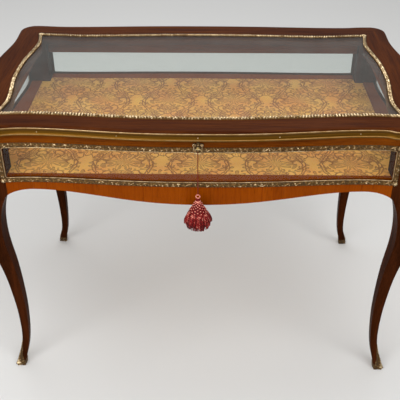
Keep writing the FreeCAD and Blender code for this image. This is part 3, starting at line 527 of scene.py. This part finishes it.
def silk_finish(name, dark, middle, light, twist_mm):
    """Spun silk: each strand a little lighter or darker than the next, with the slant of its twist and
    the soft edge glow of the fibres. The relief value is painted light, high lit and low in shade, and the
    twist's furrows are darkened as painted shade. The real twist is about 1 mm, drawn as coarse as it needs
    to show."""
    node, place = new_finish(name)
    strand = node("NewGeometry", out="Random Per Island")
    cloud = node("TexNoise", Vector=place, Scale=1 / (9.0 * MM), Detail=3.0)
    both = node("Math ADD", strand, cloud)
    # The relief value says how lit each strand is painted: painted light and shade.
    raised = node("Attribute", attribute_name="relief", out="Fac")
    level = node("Math MULTIPLY_ADD", both, 0.42, raised)
    shade = node("ValToRGB", level, stops=[(0.26, dark), (1.14, light), (0.74, middle)])
    slant = node("TexWave", Vector=place, Scale=math.pi / (10 * twist_mm * MM), Distortion=2.2, Detail=2.0,
                 bands_direction="DIAGONAL", out="Fac")
    # The twist's furrows are darkened: painted shade.
    furrow = node("ValToRGB", slant, stops=[(0.15, 0.42), (0.75, 1.0)])
    dent = node("Bump", Strength=0.5, Distance=0.3 * MM, Height=slant)
    shade = node("Mix", 1.0, shade, furrow, data_type="RGBA", blend_type="MULTIPLY")
    node("OutputMaterial", node("BsdfPrincipled", Base_Color=shade, Roughness=0.46, Normal=dent,
                                Specular_IOR_Level=0.15, Sheen_Weight=0.05, Sheen_Roughness=0.35,
                                Sheen_Tint=light))


# -------------------- what a user would change
def length(name, description, default, low=0.0):
    """A size in metres."""
    return bpy.props.FloatProperty(name=name, description=description, default=default, min=low, max=2.0,
                                   unit="LENGTH", precision=4)


def tone(name, description, code):
    """A colour, given as sRGB hex."""
    return bpy.props.FloatVectorProperty(name=name, description=description, default=colour(code), size=4,
                                         min=0.0, max=1.0, subtype="COLOR")


class VitrineSizes(bpy.types.PropertyGroup):
    """Sizes of the fine pieces."""
    cord_length: length("Cord length", "Silk cord from the bow to the tassel's ring", 0.105)
    cord_diameter: length("Cord diameter", "Thickness of the silk cord", 0.002)
    scroll_wave: length("Scroll wave", "One wave of the cast acanthus scroll", 0.026, 0.005)
    bead_wave: length("Bead pitch", "One pearl and leaf of the lid's beads", 0.0070, 0.003)
    bead_height: length("Bead height", "Crest of the lid's cast beads over the wood", 0.0045)
    frame_height: length("Frame height", "Crest of the window frames over the case", 0.0045)
    fillet: length("Fillet", "Thickness of the brass fillet round each window", 0.0018)
    frame_bar: length("Frame bar", "Width of the window frames' bars", 0.012)
    mount_height: length("Mount height", "Crest of the corner mounts over the post", 0.0045)
    repeat_width: length("Damask repeat, width", "Width of one repeat of the lining's weave", 0.185, 0.02)
    repeat_height: length("Damask repeat, height", "Height of one repeat of the lining's weave", 0.235, 0.02)
    lining_wave: length("Lining wave", "How far the lining lifts where it isn't quite flat", 0.0006)
    tassel_strand: length("Tassel strand", "Thickness of one strand of the tassel's skirt", 0.0023)


class VitrineColours(bpy.types.PropertyGroup):
    """Colours of the finishes."""
    # The gilt recess colour is painted shade in the hollows, over their dirt; the crest colour is a painted
    # highlight on the rubbed crests.
    recess: tone("Gilt recess", "Dirt in the recesses of the cast mounts", "#432e12")
    body: tone("Gilt body", "Aged gilding on the cast mounts", "#775831")
    crest: tone("Gilt crest", "Rubbed gilding on the crests", "#f2dab0")
    ground: tone("Damask ground", "Satin ground of the lining", "#ffbc4a")
    ground_dark: tone("Damask ground, worn", "Where the ground has dulled", "#f7a23a")
    figure: tone("Damask figure", "Woven foliage of the lining", "#874510")
    silk: tone("Tassel silk", "Lit strands of the tassel", "#f39a84")
    silk_middle: tone("Tassel silk, middle", "Most strands of the tassel", "#a3201f")
    silk_dark: tone("Tassel silk, dark", "Strands in shade", "#5a0a0c")
    cord: tone("Cord silk", "Lit strands of the cord", "#a03028")
    # The dark cord colour is painted shade in the cord's furrows.
    cord_shade: tone("Cord silk, dark", "Furrows of the cord", "#4a0c0c")
    glass: tone("Glass tint", "What the panes take from the light", "#fbfdfc")
    floor: tone("Floor", "The studio floor", "#e1e1e0")


# -------------------- the stage
# Lamps: place, what they aim at, size in metres and power in watts.
LAMPS = {"key_lamp": ((1.2, -1.9, 3.7), (0, 0, 0.4), 2.4, 66.0),
         "fill_lamp": ((-1.6, -3.0, 2.2), (0, 0, 0.5), 2.8, 83.0),
         "top_lamp": ((-0.4, 1.7, 4.2), (0, -0.1, 0.6), 4.4, 78.0)}


class VITRINE_OT_stage(bpy.types.Operator):
    """Set the camera, the floor and the studio lamps."""
    bl_idname = "vitrine.stage"
    bl_label = "Stage"

    def execute(self, context):
        scene = context.scene
        scene.view_settings.view_transform = "Standard"
        eye = Vector((0.0315, -1.7418, 1.5165))
        pitch, yaw, roll = 0.594, -0.0192, -0.002
        ahead = Vector((math.sin(yaw) * math.cos(pitch), math.cos(yaw) * math.cos(pitch), -math.sin(pitch)))
        level = heading(-yaw)
        right = level * math.cos(roll) + level.cross(ahead) * math.sin(roll)
        lens = bpy.data.cameras.new("studio_camera")
        lens.lens, lens.sensor_width, lens.shift_y = 64.8, 36.0, 0.0217
        camera = bpy.data.objects.new("studio_camera", lens)
        facing = Matrix((right, right.cross(ahead), -ahead)).transposed()
        camera.matrix_world = Matrix.Translation(eye) @ facing.to_4x4()
        scene.collection.objects.link(camera)
        scene.camera = camera

        floor = bpy.data.meshes.new("studio_floor")
        far = 60.0
        corners = [(-far, -far, 0), (far, -far, 0), (far, far, 0), (-far, far, 0)]
        floor.from_pydata(corners, [], [(0, 1, 2, 3)])
        ground = bpy.data.objects.new("studio_floor", floor)
        scene.collection.objects.link(ground)
        node, _ = new_finish("painted_floor")
        pale = list(scene.vitrine_colours.floor)
        shade = node("ValToRGB", node("TexNoise", Scale=3.0, Detail=2.0),
                     stops=[(0.3, [v * 0.985 for v in pale[:3]] + [1]), (0.7, pale)])
        node("OutputMaterial", node("BsdfPrincipled", Base_Color=shade, Roughness=0.85))
        floor.materials.append(bpy.data.materials["painted_floor"])

        scene.world = bpy.data.worlds.new("studio")
        scene.world.use_nodes = True
        sky = scene.world.node_tree
        sky.nodes.clear()
        glow = add_node(sky, "Background", Color=colour("#f1f1f0"), Strength=0.42)
        add_node(sky, "OutputWorld", glow)

        for name, (spot, aim, size, power) in LAMPS.items():
            light = bpy.data.lights.new(name, "AREA")
            light.shape, light.size, light.energy = "SQUARE", size, power
            lamp = bpy.data.objects.new(name, light)
            lamp.location = spot
            lamp.rotation_euler = (Vector(aim) - Vector(spot)).to_track_quat("-Z", "Y").to_euler()
            scene.collection.objects.link(lamp)
        return {"FINISHED"}


# -------------------- the finishes
class VITRINE_OT_finishes(bpy.types.Operator):
    """Mix the finishes and give them to the parts that keep their own shape."""
    bl_idname = "vitrine.finishes"
    bl_label = "Finishes"

    def execute(self, context):
        tones = context.scene.vitrine_colours
        # The legs take a darker copy of the mahogany: painted shade, as the light falls off towards the
        # floor.
        wood_finish("shaded_mahogany_legs", "#220e05", "#46200c", "Z", 34.0, shine=0.003)
        wood_finish("crossbanded_veneer", "#732d00", "#914404", "Z", 60.0, 0.1, (-0.36, -0.13, 0.15, 0.385))
        wood_finish("planed_pine", "#9a7445", "#cfae78", "X", 20.0, 0.3)
        gilt_finish("gilt_bronze_cast", tones)
        gilt_finish("gilt_bronze_plain", tones, 0.30)
        brass_finish("drawn_brass_gilt", "#90734a", "#d2b88e", 0.26)
        brass_finish("drawn_brass_aged", "#9f7e52", "#d4b78e", 0.28, 14.0, "#644312")
        brass_finish("lock_brass", "#957538", "#d3b36a", 0.30, 9.0)
        brass_finish("lock_steel", "#6b6a68", "#b9b7b2", 0.32, 9.0)
        glass_finish("sheet_glass", tones.glass, 0.45, 0.0)
        glass_finish("sheet_glass_dusty", tones.glass, 0.65, 0.03)
        damask_finish("silk_damask", context.scene.vitrine_sizes, tones)
        silk_finish("twisted_silk_cord", tones.cord_shade, tones.cord, tones.cord, 2.4)
        silk_finish("tassel_silk", tones.silk_dark, tones.silk_middle, tones.silk, 3.6)
        for sides, end, grain in ((("front", "back"), "long", "X"), (("left", "right"), "short", "Y")):
            frieze, mahogany = f"veneered_frieze_{end}", f"polished_mahogany_{end}"
            wood_finish(frieze, "#542403", "#804107", grain, 30.0)
            wood_finish(mahogany, "#311205", "#5a2c0d", grain, 30.0)
            set_finish([f"frieze_{side}" for side in sides], frieze)
            for kind in ("lid_rail", "glass_slip"):
                set_finish([f"{kind}_{side}" for side in sides], mahogany)
        set_finish([f"leg_{corner}" for corner in CORNERS], "shaded_mahogany_legs")
        set_finish([f"apron_{side}" for side in OUT], "crossbanded_veneer")
        set_finish([f"glass_{side}" for side in OUT], "sheet_glass")
        set_finish(["lid_glass"], "sheet_glass_dusty")
        set_finish(["floor_board", "floor_cleats"], "planed_pine")
        set_finish(["edge_moulding_pins"], "drawn_brass_gilt")
        set_finish(["key", "lock_case", "lock_strike", "hinge_case_leaves", "hinge_lid_leaves",
                    "case_fixings", "lid_screws"], "lock_brass")
        set_finish(["lock_bolt"], "lock_steel")
        set_finish(["escutcheon"], "gilt_bronze_plain")
        return {"FINISHED"}


# -------------------- the key's cord and tassel
CORD_ROUTE = ((0, -0.3506, 0.721), (0, -0.3506, 0.709), (0, -0.3506, 0.616))
TASSEL_TOP = np.array(CORD_ROUTE[-1])
BOW_RIM = (0, -0.348, 0.722)


class VITRINE_OT_cord(bpy.types.Operator):
    """Hitch the silk cord round the key's bow and let it hang."""
    bl_idname = "vitrine.cord"
    bl_label = "Cord"

    def execute(self, context):
        sizes = context.scene.vitrine_sizes
        curve = bpy.data.curves.new("silk_cord", "CURVE")
        curve.dimensions = "3D"
        spline = curve.splines.new("NURBS")
        spline.points.add(len(CORD_ROUTE) - 1)
        for point, place in zip(spline.points, CORD_ROUTE):
            point.co = (*place, 1)
        spline.order_u = 3
        spline.use_endpoint_u = True
        curve.bevel_depth, curve.bevel_resolution = sizes.cord_diameter / 2, 3
        curve.materials.append(bpy.data.materials["twisted_silk_cord"])
        cord = bpy.data.objects.new("silk_cord", curve)
        context.scene.collection.objects.link(cord)
        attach(cord, "tassel")
        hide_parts("tassel_cord")

        reach = 2.35 * MM
        loop = ring(BOW_RIM, (0, reach, 0), (0, 0, reach), 40)
        piece("cord_hitch", tube(loop, 1.0 * MM, 12, True, 2 * TURN, 2, 0.12), "key",
              "twisted_silk_cord")

        head = tassel_head()
        return {"FINISHED"}


def hung(radius, angle, drop):
    """Points round the tassel's axis, at a radius and a drop below its top in mm."""
    return TASSEL_TOP + np.stack(np.broadcast_arrays(
        radius * np.cos(angle), radius * np.sin(angle), -np.asarray(drop)), axis=-1) * MM


def rope(line, radius, worn, around=8, looped=False, turns=0.0):
    """A two-ply rope along a line, radius in mm, with its relief: worn says how lit the silk finish paints
    it.
    """
    return evenly(tube(line, radius * MM, around, looped, TURN * turns, 2, 0.14), worn)


def tassel_ring(drop, radius, thick, worn, turns):
    """A rope laid round the tassel at a depth below its top; worn says how lit it is painted."""
    return rope(hung(radius, circle(48), drop), thick, worn, 10, True, turns)


def tassel_head():
    """The ring, the neck bands, the ball and the netted head of the tassel."""
    eye = ring(hung(0, 0, 5.6), UP * 4.6 * MM, (4.6 * MM, 0, 0), 48)
    parts = [rope(eye, 1.3, 0.55, 12, True, 5)]
    for drop, radius in ((11.6, 3.0), (13.4, 3.6), (15.0, 4.2)):
        parts.append(tassel_ring(drop, radius, 1.1, 0.0, 5))
    ball = [(7.0 * math.sin(a), 18.8 - 3.6 * math.cos(a)) for a in np.linspace(0.05, 3.09, 16)]
    bell = ((5.8, 21.6), (7.0, 22.6), (8.4, 25.0), (10.2, 29.0), (12.6, 33.5), (15.4, 38.0), (18.2, 42.5),
            (19.2, 45.0), (17.4, 46.4))
    # The ball is painted lit and the bell under the net darker, in painted shade.
    parts += [evenly(lathe(ball, TASSEL_TOP), 0.9), evenly(lathe(bell, TASSEL_TOP), -0.25)]
    # Strands wind both ways over the bell from the first drop to the last, a whole turn in so many mm,
    # and a knot sits on each of their crossings.
    radii, drops = np.array(bell).T
    strands, first, last, lay = 8, 22.0, 45.0, 50
    drop = np.linspace(first, last, 30)
    for hand in (-1, 1):
        for k in range(strands):
            angle = TURN * (k / strands + hand * (drop - first) / lay)
            parts.append(rope(hung(np.interp(drop, drops, radii) + 0.7, angle, drop), 1.0, 0.20, 6, False, 3))
    # The knots are painted lit: the net's painted highlights.
    knot = [(1.6 * math.sin(a), -1.6 * math.cos(a)) for a in np.linspace(0.1, 3.04, 6)]
    for row, drop in enumerate(np.arange(first, last, lay / strands / 2)):
        for k in range(strands):
            spot = hung(np.interp(drop, drops, radii) + 1.2, TURN * (k + row / 2) / strands, drop)
            parts.append(evenly(lathe(knot, spot, 8), 0.85))
    parts += [tassel_ring(21.4, 6.4, 1.2, 0.1, 8), tassel_ring(45.6, 19.4, 1.5, 0.2, 20)]
    return silk("tassel_head", parts, ["tassel"])


def silk_strands(chance, count, turn, spread, profile, fall, thick, worn, crown=0.0):
    """Strands that hang from one place of the tassel. profile gives the share of the fall and the radius
    in mm; turn and spread are the middle and the width of the bunch in radians; crown rounds it out; worn
    says how lit the strands are painted."""
    parts = []
    shares, radii = np.array(profile).T
    s = np.linspace(0, 1, 14)
    open_out = np.interp(s, (0, 0.25, 1), (0.45, 0.9, 1.0))
    width = thick * np.interp(s, (0, 0.1, 0.92, 1), (0.75, 1, 1, 0.8))
    around = 6
    for k in range(count):
        place = (k + chance.uniform(0.1, 0.9)) / count - 0.5
        reach = fall[1] + chance.uniform(-2.2, 0.8)
        layer = chance.uniform(-0.09, 0.03)
        radius = np.interp(s, shares, radii) * (1 + (layer + crown * (math.cos(math.pi * place) - 0.8)) * s)
        angle = turn + place * spread * open_out + 0.03 * np.sin(3 * s + chance.uniform(0, 6.3))
        line = hung(radius, angle, fall[0] + s * (reach - fall[0]))
        # Each strand's painted light: a random level, lighter at its top and darker at its tip, with random
        # specks.
        shade = worn + chance.uniform(-0.22, 0.22)
        speck = chance.uniform(-0.30, 0.30, len(s))
        relief = np.interp(s, (0, 0.3, 1), (shade + 0.15, shade, shade - 0.05)) + speck
        parts.append((tube(line, width, around, twist=16.0, lobes=2, depth=0.2), np.repeat(relief, around)))
    return parts


class VITRINE_OT_tassel(bpy.types.Operator):
    """Hang the tassel's skirt below its head: one long tier and a ring of small bunches over it."""
    bl_idname = "vitrine.tassel"
    bl_label = "Tassel skirt"

    def execute(self, context):
        chance = np.random.default_rng(7)
        thick = context.scene.vitrine_sizes.tassel_strand / 2
        core = ((3, 45), (15, 45.5), (21, 56), (26, 68), (25, 78), (22, 83), (3, 83))
        # The core and the long tier under the bunches are painted darker than the bunches: painted shade.
        silk("tassel_core", [evenly(lathe(core, TASSEL_TOP), -0.6)])
        silk("tassel_skirt_long", silk_strands(
            chance, 84, 0.0, TURN, ((0, 16.5), (0.25, 22.5), (0.55, 27.0), (0.8, 28.0), (1, 26.5)),
            (45.5, 87.0), thick, 0.0))
        bunches = 8
        over = []
        for k in range(bunches):
            turn = TURN * (k + 0.25) / bunches
            over += silk_strands(chance, 15, turn, TURN / bunches * 0.86,
                                 ((0, 18.2), (0.22, 23.8), (0.5, 28.8), (0.78, 31.4), (1, 30.6)),
                                 (44.8, 77.5 + chance.uniform(-3.5, 3.0)), thick, 0.16, 0.30)
            t = circle(20)
            crown = hung(21.2 + 2.6 * np.sin(t), turn + 0.09 * np.cos(t), 48.6 + 1.4 * np.sin(t))
            over.append(rope(crown, 1.2, 0.45, 8, True, 6))
        silk("tassel_skirt_bunches", over)
        return {"FINISHED"}


# -------------------- the cast mounts
class VITRINE_OT_beads(bpy.types.Operator):
    """Lay the cast pearls and leaves round the lid's glass, with a rosette in each corner."""
    bl_idname = "vitrine.beads"
    bl_label = "Lid beads"

    def execute(self, context):
        sizes = context.scene.vitrine_sizes
        width, step, level = 11.5 * MM, 0.7 * MM, 2 * MM
        for side in OUT:
            node = f"lid_bead_{side}"
            tree = surface_of(node)
            _, reach, foot, _ = ends(side, node)
            share = np.linspace(-0.999, 0.999, int(2 * reach / step))
            outer = edge_line(tree, side, share * reach, foot + level)
            inner = edge_line(tree, side, share * (reach - width), foot + level, inward=False)
            outer[:, 2] = inner[:, 2] = foot
            parts = [cast_band(inner, outer, np.array(UP), sizes.bead_height, sizes.bead_wave, bead_relief)]
            if side in ("front", "back"):
                x, y, _ = (inner[-1] + outer[-1]) / 2
                parts += [cast_rosette((hand * x, y, foot), UP, Vector((1, 0, 0)), 9.0 * MM,
                                       sizes.bead_height * 1.1) for hand in (-1, 1)]
            # At least 0.36 everywhere: the beads' flanks and feet are painted lighter than their shade.
            cast(f"cast_bead_{side}", parts, "lid", [node], 0.36, 0.75)
        return {"FINISHED"}


class VITRINE_OT_frames(bpy.types.Operator):
    """Frame each window of the case with cast acanthus bars and corner rosettes."""
    bl_idname = "vitrine.frames"
    bl_label = "Window frames"

    def execute(self, context):
        sizes = context.scene.vitrine_sizes
        bar, height, lap, step = sizes.frame_bar, sizes.frame_height, 0.5 * MM, 0.85 * MM
        for side in OUT:
            node = f"foliate_frame_{side}"
            first, last, low, high = ends(side, node)
            out = OUT[side]
            ground = functools.partial(on_face, surface_of(node), side, level=low + bar / 2, sink=height)
            us = np.linspace(first + lap, last - lap, int((last - first) / step))
            parts = [cast_band(ground(us, zs=foot), ground(us, zs=foot + bar), np.array(out), height,
                               sizes.scroll_wave) for foot in (low, high - bar)]
            zs = np.linspace(low + bar, high - bar, int((high - low - 2 * bar) / step))
            for edge in (first + lap, last - bar):
                near, far = ground([edge, edge + bar - lap], zs=0.0)
                parts.append(cast_band(near + np.outer(zs, UP), far + np.outer(zs, UP), np.array(out), height,
                                       sizes.scroll_wave))
                parts += [cast_rosette((near + far) / 2 + (0, 0, z), out, UP, 7.5 * MM, height)
                          for z in (low + bar / 2, high - bar / 2)]
            cast(f"cast_frame_{side}", parts, "case", [node], 0.24, 0.66)
        return {"FINISHED"}


class VITRINE_OT_fillets(bpy.types.Operator):
    """Run a thin brass fillet round each window, inside its frame."""
    bl_idname = "vitrine.fillets"
    bl_label = "Window fillets"

    def execute(self, context):
        sizes = context.scene.vitrine_sizes
        bar, radius, bend, step = sizes.frame_bar, sizes.fillet / 2, 5.0 * MM, 8 * MM
        inset = bar + radius + bend
        for side in OUT:
            node = f"foliate_frame_{side}"
            first, last, low, high = ends(side, node)
            left, right, foot, head = first + inset, last - inset, low + inset, high - inset
            centres = np.array(((right, foot), (right, head), (left, head), (left, foot)))
            plan = []
            for k, centre in enumerate(centres):
                for turn in np.radians(k * 90 - 90 + np.arange(7) * 15):
                    plan.append(centre + (bend * math.cos(turn), bend * math.sin(turn)))
                end = centres[(k + 1) % 4] + plan[-1] - centre
                steps = int(np.linalg.norm(end - plan[-1]) / step)
                plan += [plan[-1] * (1 - s) + end * s for s in np.linspace(0, 1, steps, endpoint=False)[1:]]
            us, zs = np.array(plan).T
            line = on_face(surface_of(node), side, us, low + bar / 2, zs, sizes.frame_height - 0.3 * MM)
            piece(f"brass_fillet_{side}", tube(line, radius, 10, True), "case",
                  "drawn_brass_gilt")
        return {"FINISHED"}


class VITRINE_OT_corner_mounts(bpy.types.Operator):
    """Wrap an acanthus mount round each post's corner."""
    bl_idname = "vitrine.corner_mounts"
    bl_label = "Corner mounts"

    def execute(self, context):
        crest = context.scene.vitrine_sizes.mount_height
        thick, post = 3.8 * MM, 28.0 * MM
        for corner, (across, back) in CORNERS.items():
            node = f"corner_mount_{corner}"
            low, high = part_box(node)
            middle = Vector(((high.x if across > 0 else low.x) - across * (post + thick),
                             (high.y if back > 0 else low.y) - back * (post + thick), 0))
            facing = math.atan2(back, across)

            def place(sideways, along, lift):
                turn, r = facing + sideways / post, post + lift
                return (middle.x + r * math.cos(turn), middle.y + r * math.sin(turn), low.z + along)

            def half_width(v):
                return np.interp(v, (0, 0.05, 0.16, 0.30, 0.50, 0.70, 0.84, 0.93, 1),
                                 (0.8, 3.5, 6.0, 10.0, 12.0, 18.0, 23.5, 21.0, 13.0)) * MM

            leaf = cast_leaf(place, half_width, high.z - low.z, crest, 7, crown=1.0)
            cast(f"cast_corner_{corner}", [leaf], "case", [node], 0.15, 0.65)
        return {"FINISHED"}


class VITRINE_OT_sabots(bpy.types.Operator):
    """Shoe each foot with a cast sabot: a low collar, a leaf up the outer corner and a scrolled toe."""
    bl_idname = "vitrine.sabots"
    bl_label = "Sabots"

    def execute(self, context):
        rows, around = 44, 72
        theta = np.linspace(-math.pi, math.pi, around, endpoint=False)
        # The top edge is a leaf: a point over the outer corner, side lobes, then a low collar.
        leaf = np.exp(-(theta / 0.50) ** 2)
        collar, lobes = 17 + 2.5 * np.cos(9 * theta), 3.0 * np.cos(16 * theta)
        edge = collar * (1 - leaf) + 77 * leaf + lobes * (leaf > 0.05)
        for corner, (across, back) in CORNERS.items():
            node = f"sabot_{corner}"
            low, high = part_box(node)
            leg, shell = surface_of(f"leg_{corner}"), surface_of(node)
            facing = math.atan2(back, across)
            ways = [heading(facing + turn) for turn in theta]
            rings, wear = [], []
            for v in np.linspace(0, 1, rows):
                loop = []
                for turn, out, z in zip(theta, ways, v * edge * MM):
                    # The leg leans out above its foot, so its heart moves with the height.
                    heart = Vector(((low.x + high.x) / 2, (low.y + high.y) / 2, max(z, 5 * MM)))
                    start = heart + heading(facing) * (-0.16 * z) + out * 0.12
                    hit = leg.ray_cast(start, -out)[0] or shell.ray_cast(start, -out)[0]
                    z_mm = z / MM
                    toe = math.exp(-(turn / 0.42) ** 2) * math.exp(-((z_mm - 9.5) / 7.0) ** 2)
                    curl = 0.5 + 0.5 * math.cos(5.0 * math.hypot(turn * 18, z_mm - 9.5) / 8)
                    rib = math.exp(-(turn / 0.07) ** 2)
                    vein = 0.5 + 0.5 * math.cos(0.75 * z_mm - 7 * abs(turn))
                    bulge = 1.3 + 1.2 * rib + 1.5 * vein * (1 - v ** 4) + 5.5 * toe * (0.7 + 0.3 * curl)
                    loop.append(Vector((hit.x, hit.y, z)) + out * bulge * (1 - 0.55 * v ** 10) * MM)
                    # How bright each point is painted: the rib and veins as worn relief, and the toe lifted
                    # most, a painted highlight.
                    wear.append(min(1.3, 0.20 + 0.45 * rib + 0.50 * vein + 0.80 * toe))
                rings.append(loop)
            # The shell's inside follows the leg just under its skin.
            rings.append([point - out * 2.4 * MM for point, out in zip(rings[-1], ways)])
            worn = np.append(rubbing_and_glints(np.reshape(wear, (rows, around))), np.zeros(around))
            cast(f"cast_sabot_{corner}", [(skin(rings), worn)], "case", [node])
        return {"FINISHED"}


def c_scroll(middle, hand):
    """A C-scroll on one side of the middle: a volute over each of the plate's lobes, and a rod between."""
    turns = np.linspace(0, 1.5 * TURN, 44)
    grown = np.linspace(3.2, 0.7, 44)
    upper = np.stack([8.4 + grown * np.cos(turns), 6.8 + grown * np.sin(turns)], axis=1)
    lower = np.stack([7.8 + 0.9 * grown * np.cos(turns), -6.8 - 0.9 * grown * np.sin(turns)], axis=1)
    s = np.linspace(0, 1, 14)[1:-1, None]
    rod = lower[0] * (1 - s) + upper[0] * s - np.sin(math.pi * s) * (1.6, 0)
    flat = np.concatenate([lower[::-1], rod, upper]) * MM
    across, rise = flat.T
    line = np.array(middle) + np.stack([hand * across, 0 * across, rise], axis=1)
    s = np.linspace(0, 1, len(line))
    eyes = np.exp(-(np.minimum(s, 1 - s) / 0.03) ** 2)
    radius = 1.35 * MM * (0.5 + 0.5 * np.sin(math.pi * s) + 0.45 * eyes)
    around = 10
    # Round each rod the relief climbs from 0.55 to 0.95, so one side of the rod is painted lighter: a painted
    # highlight.
    return tube(line, radius, around), np.tile(np.linspace(0.55, 0.95, around), len(line))


class VITRINE_OT_escutcheon(bpy.types.Operator):
    """Set a pair of cast C-scrolls and two leaves round the keyhole's plate."""
    bl_idname = "vitrine.escutcheon"
    bl_label = "Escutcheon"

    def execute(self, context):
        low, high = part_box("escutcheon")
        middle = Vector(((low.x + high.x) / 2, low.y, BOW_RIM[2]))
        parts = [c_scroll(middle, hand) for hand in (-1, 1)]
        leaf_length, leaf_height = 8.5 * MM, 2.0 * MM

        def half_width(v):
            return np.interp(v, (0, 0.35, 0.8, 1), (0.3, 2.6, 3.6, 2.0)) * MM

        for rise, root in ((1, 5.5 * MM), (-1, 5.0 * MM)):
            def place(sideways, along, lift):
                return (middle.x + sideways, middle.y - lift, middle.z + rise * (root + leaf_length - along))

            parts.append(cast_leaf(place, half_width, leaf_length, leaf_height, 3, 30, 13))
        cast("escutcheon_scrolls", parts, "case")
        return {"FINISHED"}


# Centres of the lid's rounded corners, where its front, right, back and left end.
LID_CORNERS = ((0.490, -0.279), (0.490, 0.2885), (-0.490, 0.2885), (-0.490, -0.279))


def lid_outline(tree, z):
    """The lid's outline at a height, anticlockwise from the front's left end."""
    (right, fore), _, (left, aft), _ = LID_CORNERS
    runs = (("front", left, right), ("right", fore, aft), ("back", right, left), ("left", aft, fore))
    line = []
    for (side, start, end), centre in zip(runs, LID_CORNERS):
        line.extend(edge_line(tree, side, np.linspace(start, end, int(abs(end - start) / (5 * MM))), z)[:-1])
        facing = math.atan2(OUT[side].y, OUT[side].x)
        for share in range(9):
            way = heading(facing + share / 9 * math.pi / 2)
            line.append(np.array(tree.ray_cast(Vector((*centre, z)) + way, -way)[0]))
    return np.array(line)


class VITRINE_OT_edge_moulding(bpy.types.Operator):
    """Run the drawn brass moulding round the lid's edge."""
    bl_idname = "vitrine.edge_moulding"
    bl_label = "Edge moulding"

    def execute(self, context):
        names = [f"edge_moulding_{side}" for side in OUT]
        low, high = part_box(names[0])
        line = lid_outline(surface_of(*names), high.z - 2.6 * MM)
        run = np.roll(line, -1, 0) - np.roll(line, 1, 0)
        inward = np.stack([-run[:, 1], run[:, 0], np.zeros(len(run))], axis=1)
        inward /= np.linalg.norm(inward, axis=1)[:, None]
        # Depth behind the upper lip and height over the foot in mm: foot, lower lip, hollow, upper lip, back.
        section = ((5.0, 0.0), (1.2, 0.0), (0.6, 0.3), (0.3, 1.0), (0.3, 2.8), (0.6, 3.6), (1.3, 4.2),
                   (2.1, 5.1), (2.6, 6.6), (2.8, 8.6), (2.7, 10.8), (2.3, 12.7), (1.5, 14.3), (0.7, 15.2),
                   (0.15, 16.0), (0.0, 17.2), (0.0, 18.6), (0.25, 19.6), (1.0, 20.2), (5.0, 20.2))
        depths, rises = np.array(section).T
        rings = line[:, None, :] + inward[:, None, :] * depths[:, None] * MM
        rings[..., 2] = low.z + rises * MM
        # The lips are drawn brightest and the hollow has kept its tarnish.
        worn = np.interp(rises, (0, 1.0, 2.8, 3.6, 4.4, 15.2, 18.4, 19.4, 20.2),
                         (0.0, 0.0, 0.1, 0.22, 0.0, 0.0, 0.1, 0.7, 0.7))
        piece("drawn_edge_moulding", skin(rings, True), "lid", "drawn_brass_aged", names,
              np.tile(worn, len(line)), 40)
        return {"FINISHED"}


class VITRINE_OT_lining(bpy.types.Operator):
    """Lay the damask over the floor board, notched round the posts."""
    bl_idname = "vitrine.lining"
    bl_label = "Damask lining"

    def execute(self, context):
        wave = context.scene.vitrine_sizes.lining_wave
        step, gap, sunk = 8 * MM, 1 * MM, 0.8 * MM
        low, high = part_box("damask_lining")
        fore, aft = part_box("leg_front_left")[1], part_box("leg_rear_left")[0]
        notch, front, rear = -(fore.x + gap), fore.y + gap, aft.y - gap
        xs = np.unique(np.round([*np.arange(low.x, high.x, step), -notch, notch, high.x], 6))
        ys = np.unique(np.round([*np.arange(low.y, high.y, step), front, rear, high.y], 6))
        faces, area = [], 0.0
        for i in range(len(xs) - 1):
            for j in range(len(ys) - 1):
                if abs(xs[i] + xs[i + 1]) / 2 > notch and not front < (ys[j] + ys[j + 1]) / 2 < rear:
                    continue
                a, b = i * len(ys) + j, (i + 1) * len(ys) + j
                faces.append((a, b, b + 1, a + 1))
                area += (xs[i + 1] - xs[i]) * (ys[j + 1] - ys[j])
        used = sorted({k for face in faces for k in face})
        order = {k: index for index, k in enumerate(used)}
        x, y = xs[np.array(used) // len(ys)], ys[np.array(used) % len(ys)]
        z = high.z - sunk - wave + wave * (np.sin(x * 31 + y * 9) + np.sin(y * 23 - x * 13 + 1)) / 2
        solid = (np.stack([x, y, z], axis=1), [tuple(order[k] for k in face) for face in faces])
        lining = piece("damask_sheet", solid, "case", "silk_damask", ["damask_lining"])
        return {"FINISHED"}


# -------------------- the add-on
STEPS = (VITRINE_OT_stage, VITRINE_OT_finishes, VITRINE_OT_cord, VITRINE_OT_tassel, VITRINE_OT_beads,
         VITRINE_OT_frames, VITRINE_OT_fillets, VITRINE_OT_corner_mounts, VITRINE_OT_sabots,
         VITRINE_OT_escutcheon, VITRINE_OT_edge_moulding, VITRINE_OT_lining)


class VITRINE_PT_panel(bpy.types.Panel):
    """Sizes, colours and the steps that dress the table."""
    bl_idname = "VITRINE_PT_panel"
    bl_label = "Collectors display table"
    bl_space_type = "VIEW_3D"
    bl_region_type = "UI"
    bl_category = "Vitrine"

    def draw(self, context):
        for group in (context.scene.vitrine_sizes, context.scene.vitrine_colours):
            box = self.layout.box()
            for name in group.bl_rna.properties.keys():
                if name not in ("rna_type", "name"):
                    box.prop(group, name)
        for step in STEPS:
            self.layout.operator(step.bl_idname)


CLASSES = (VitrineSizes, VitrineColours, *STEPS, VITRINE_PT_panel)


def register():
    for kind in CLASSES:
        bpy.utils.register_class(kind)
    bpy.types.Scene.vitrine_sizes = bpy.props.PointerProperty(type=VitrineSizes)
    bpy.types.Scene.vitrine_colours = bpy.props.PointerProperty(type=VitrineColours)


def unregister():
    del bpy.types.Scene.vitrine_colours
    del bpy.types.Scene.vitrine_sizes
    for kind in reversed(CLASSES):
        bpy.utils.unregister_class(kind)


def main():
    register()
    for step in STEPS:
        group, call = step.bl_idname.split(".")
        getattr(getattr(bpy.ops, group), call)()


if __name__ == "__main__":
    main()
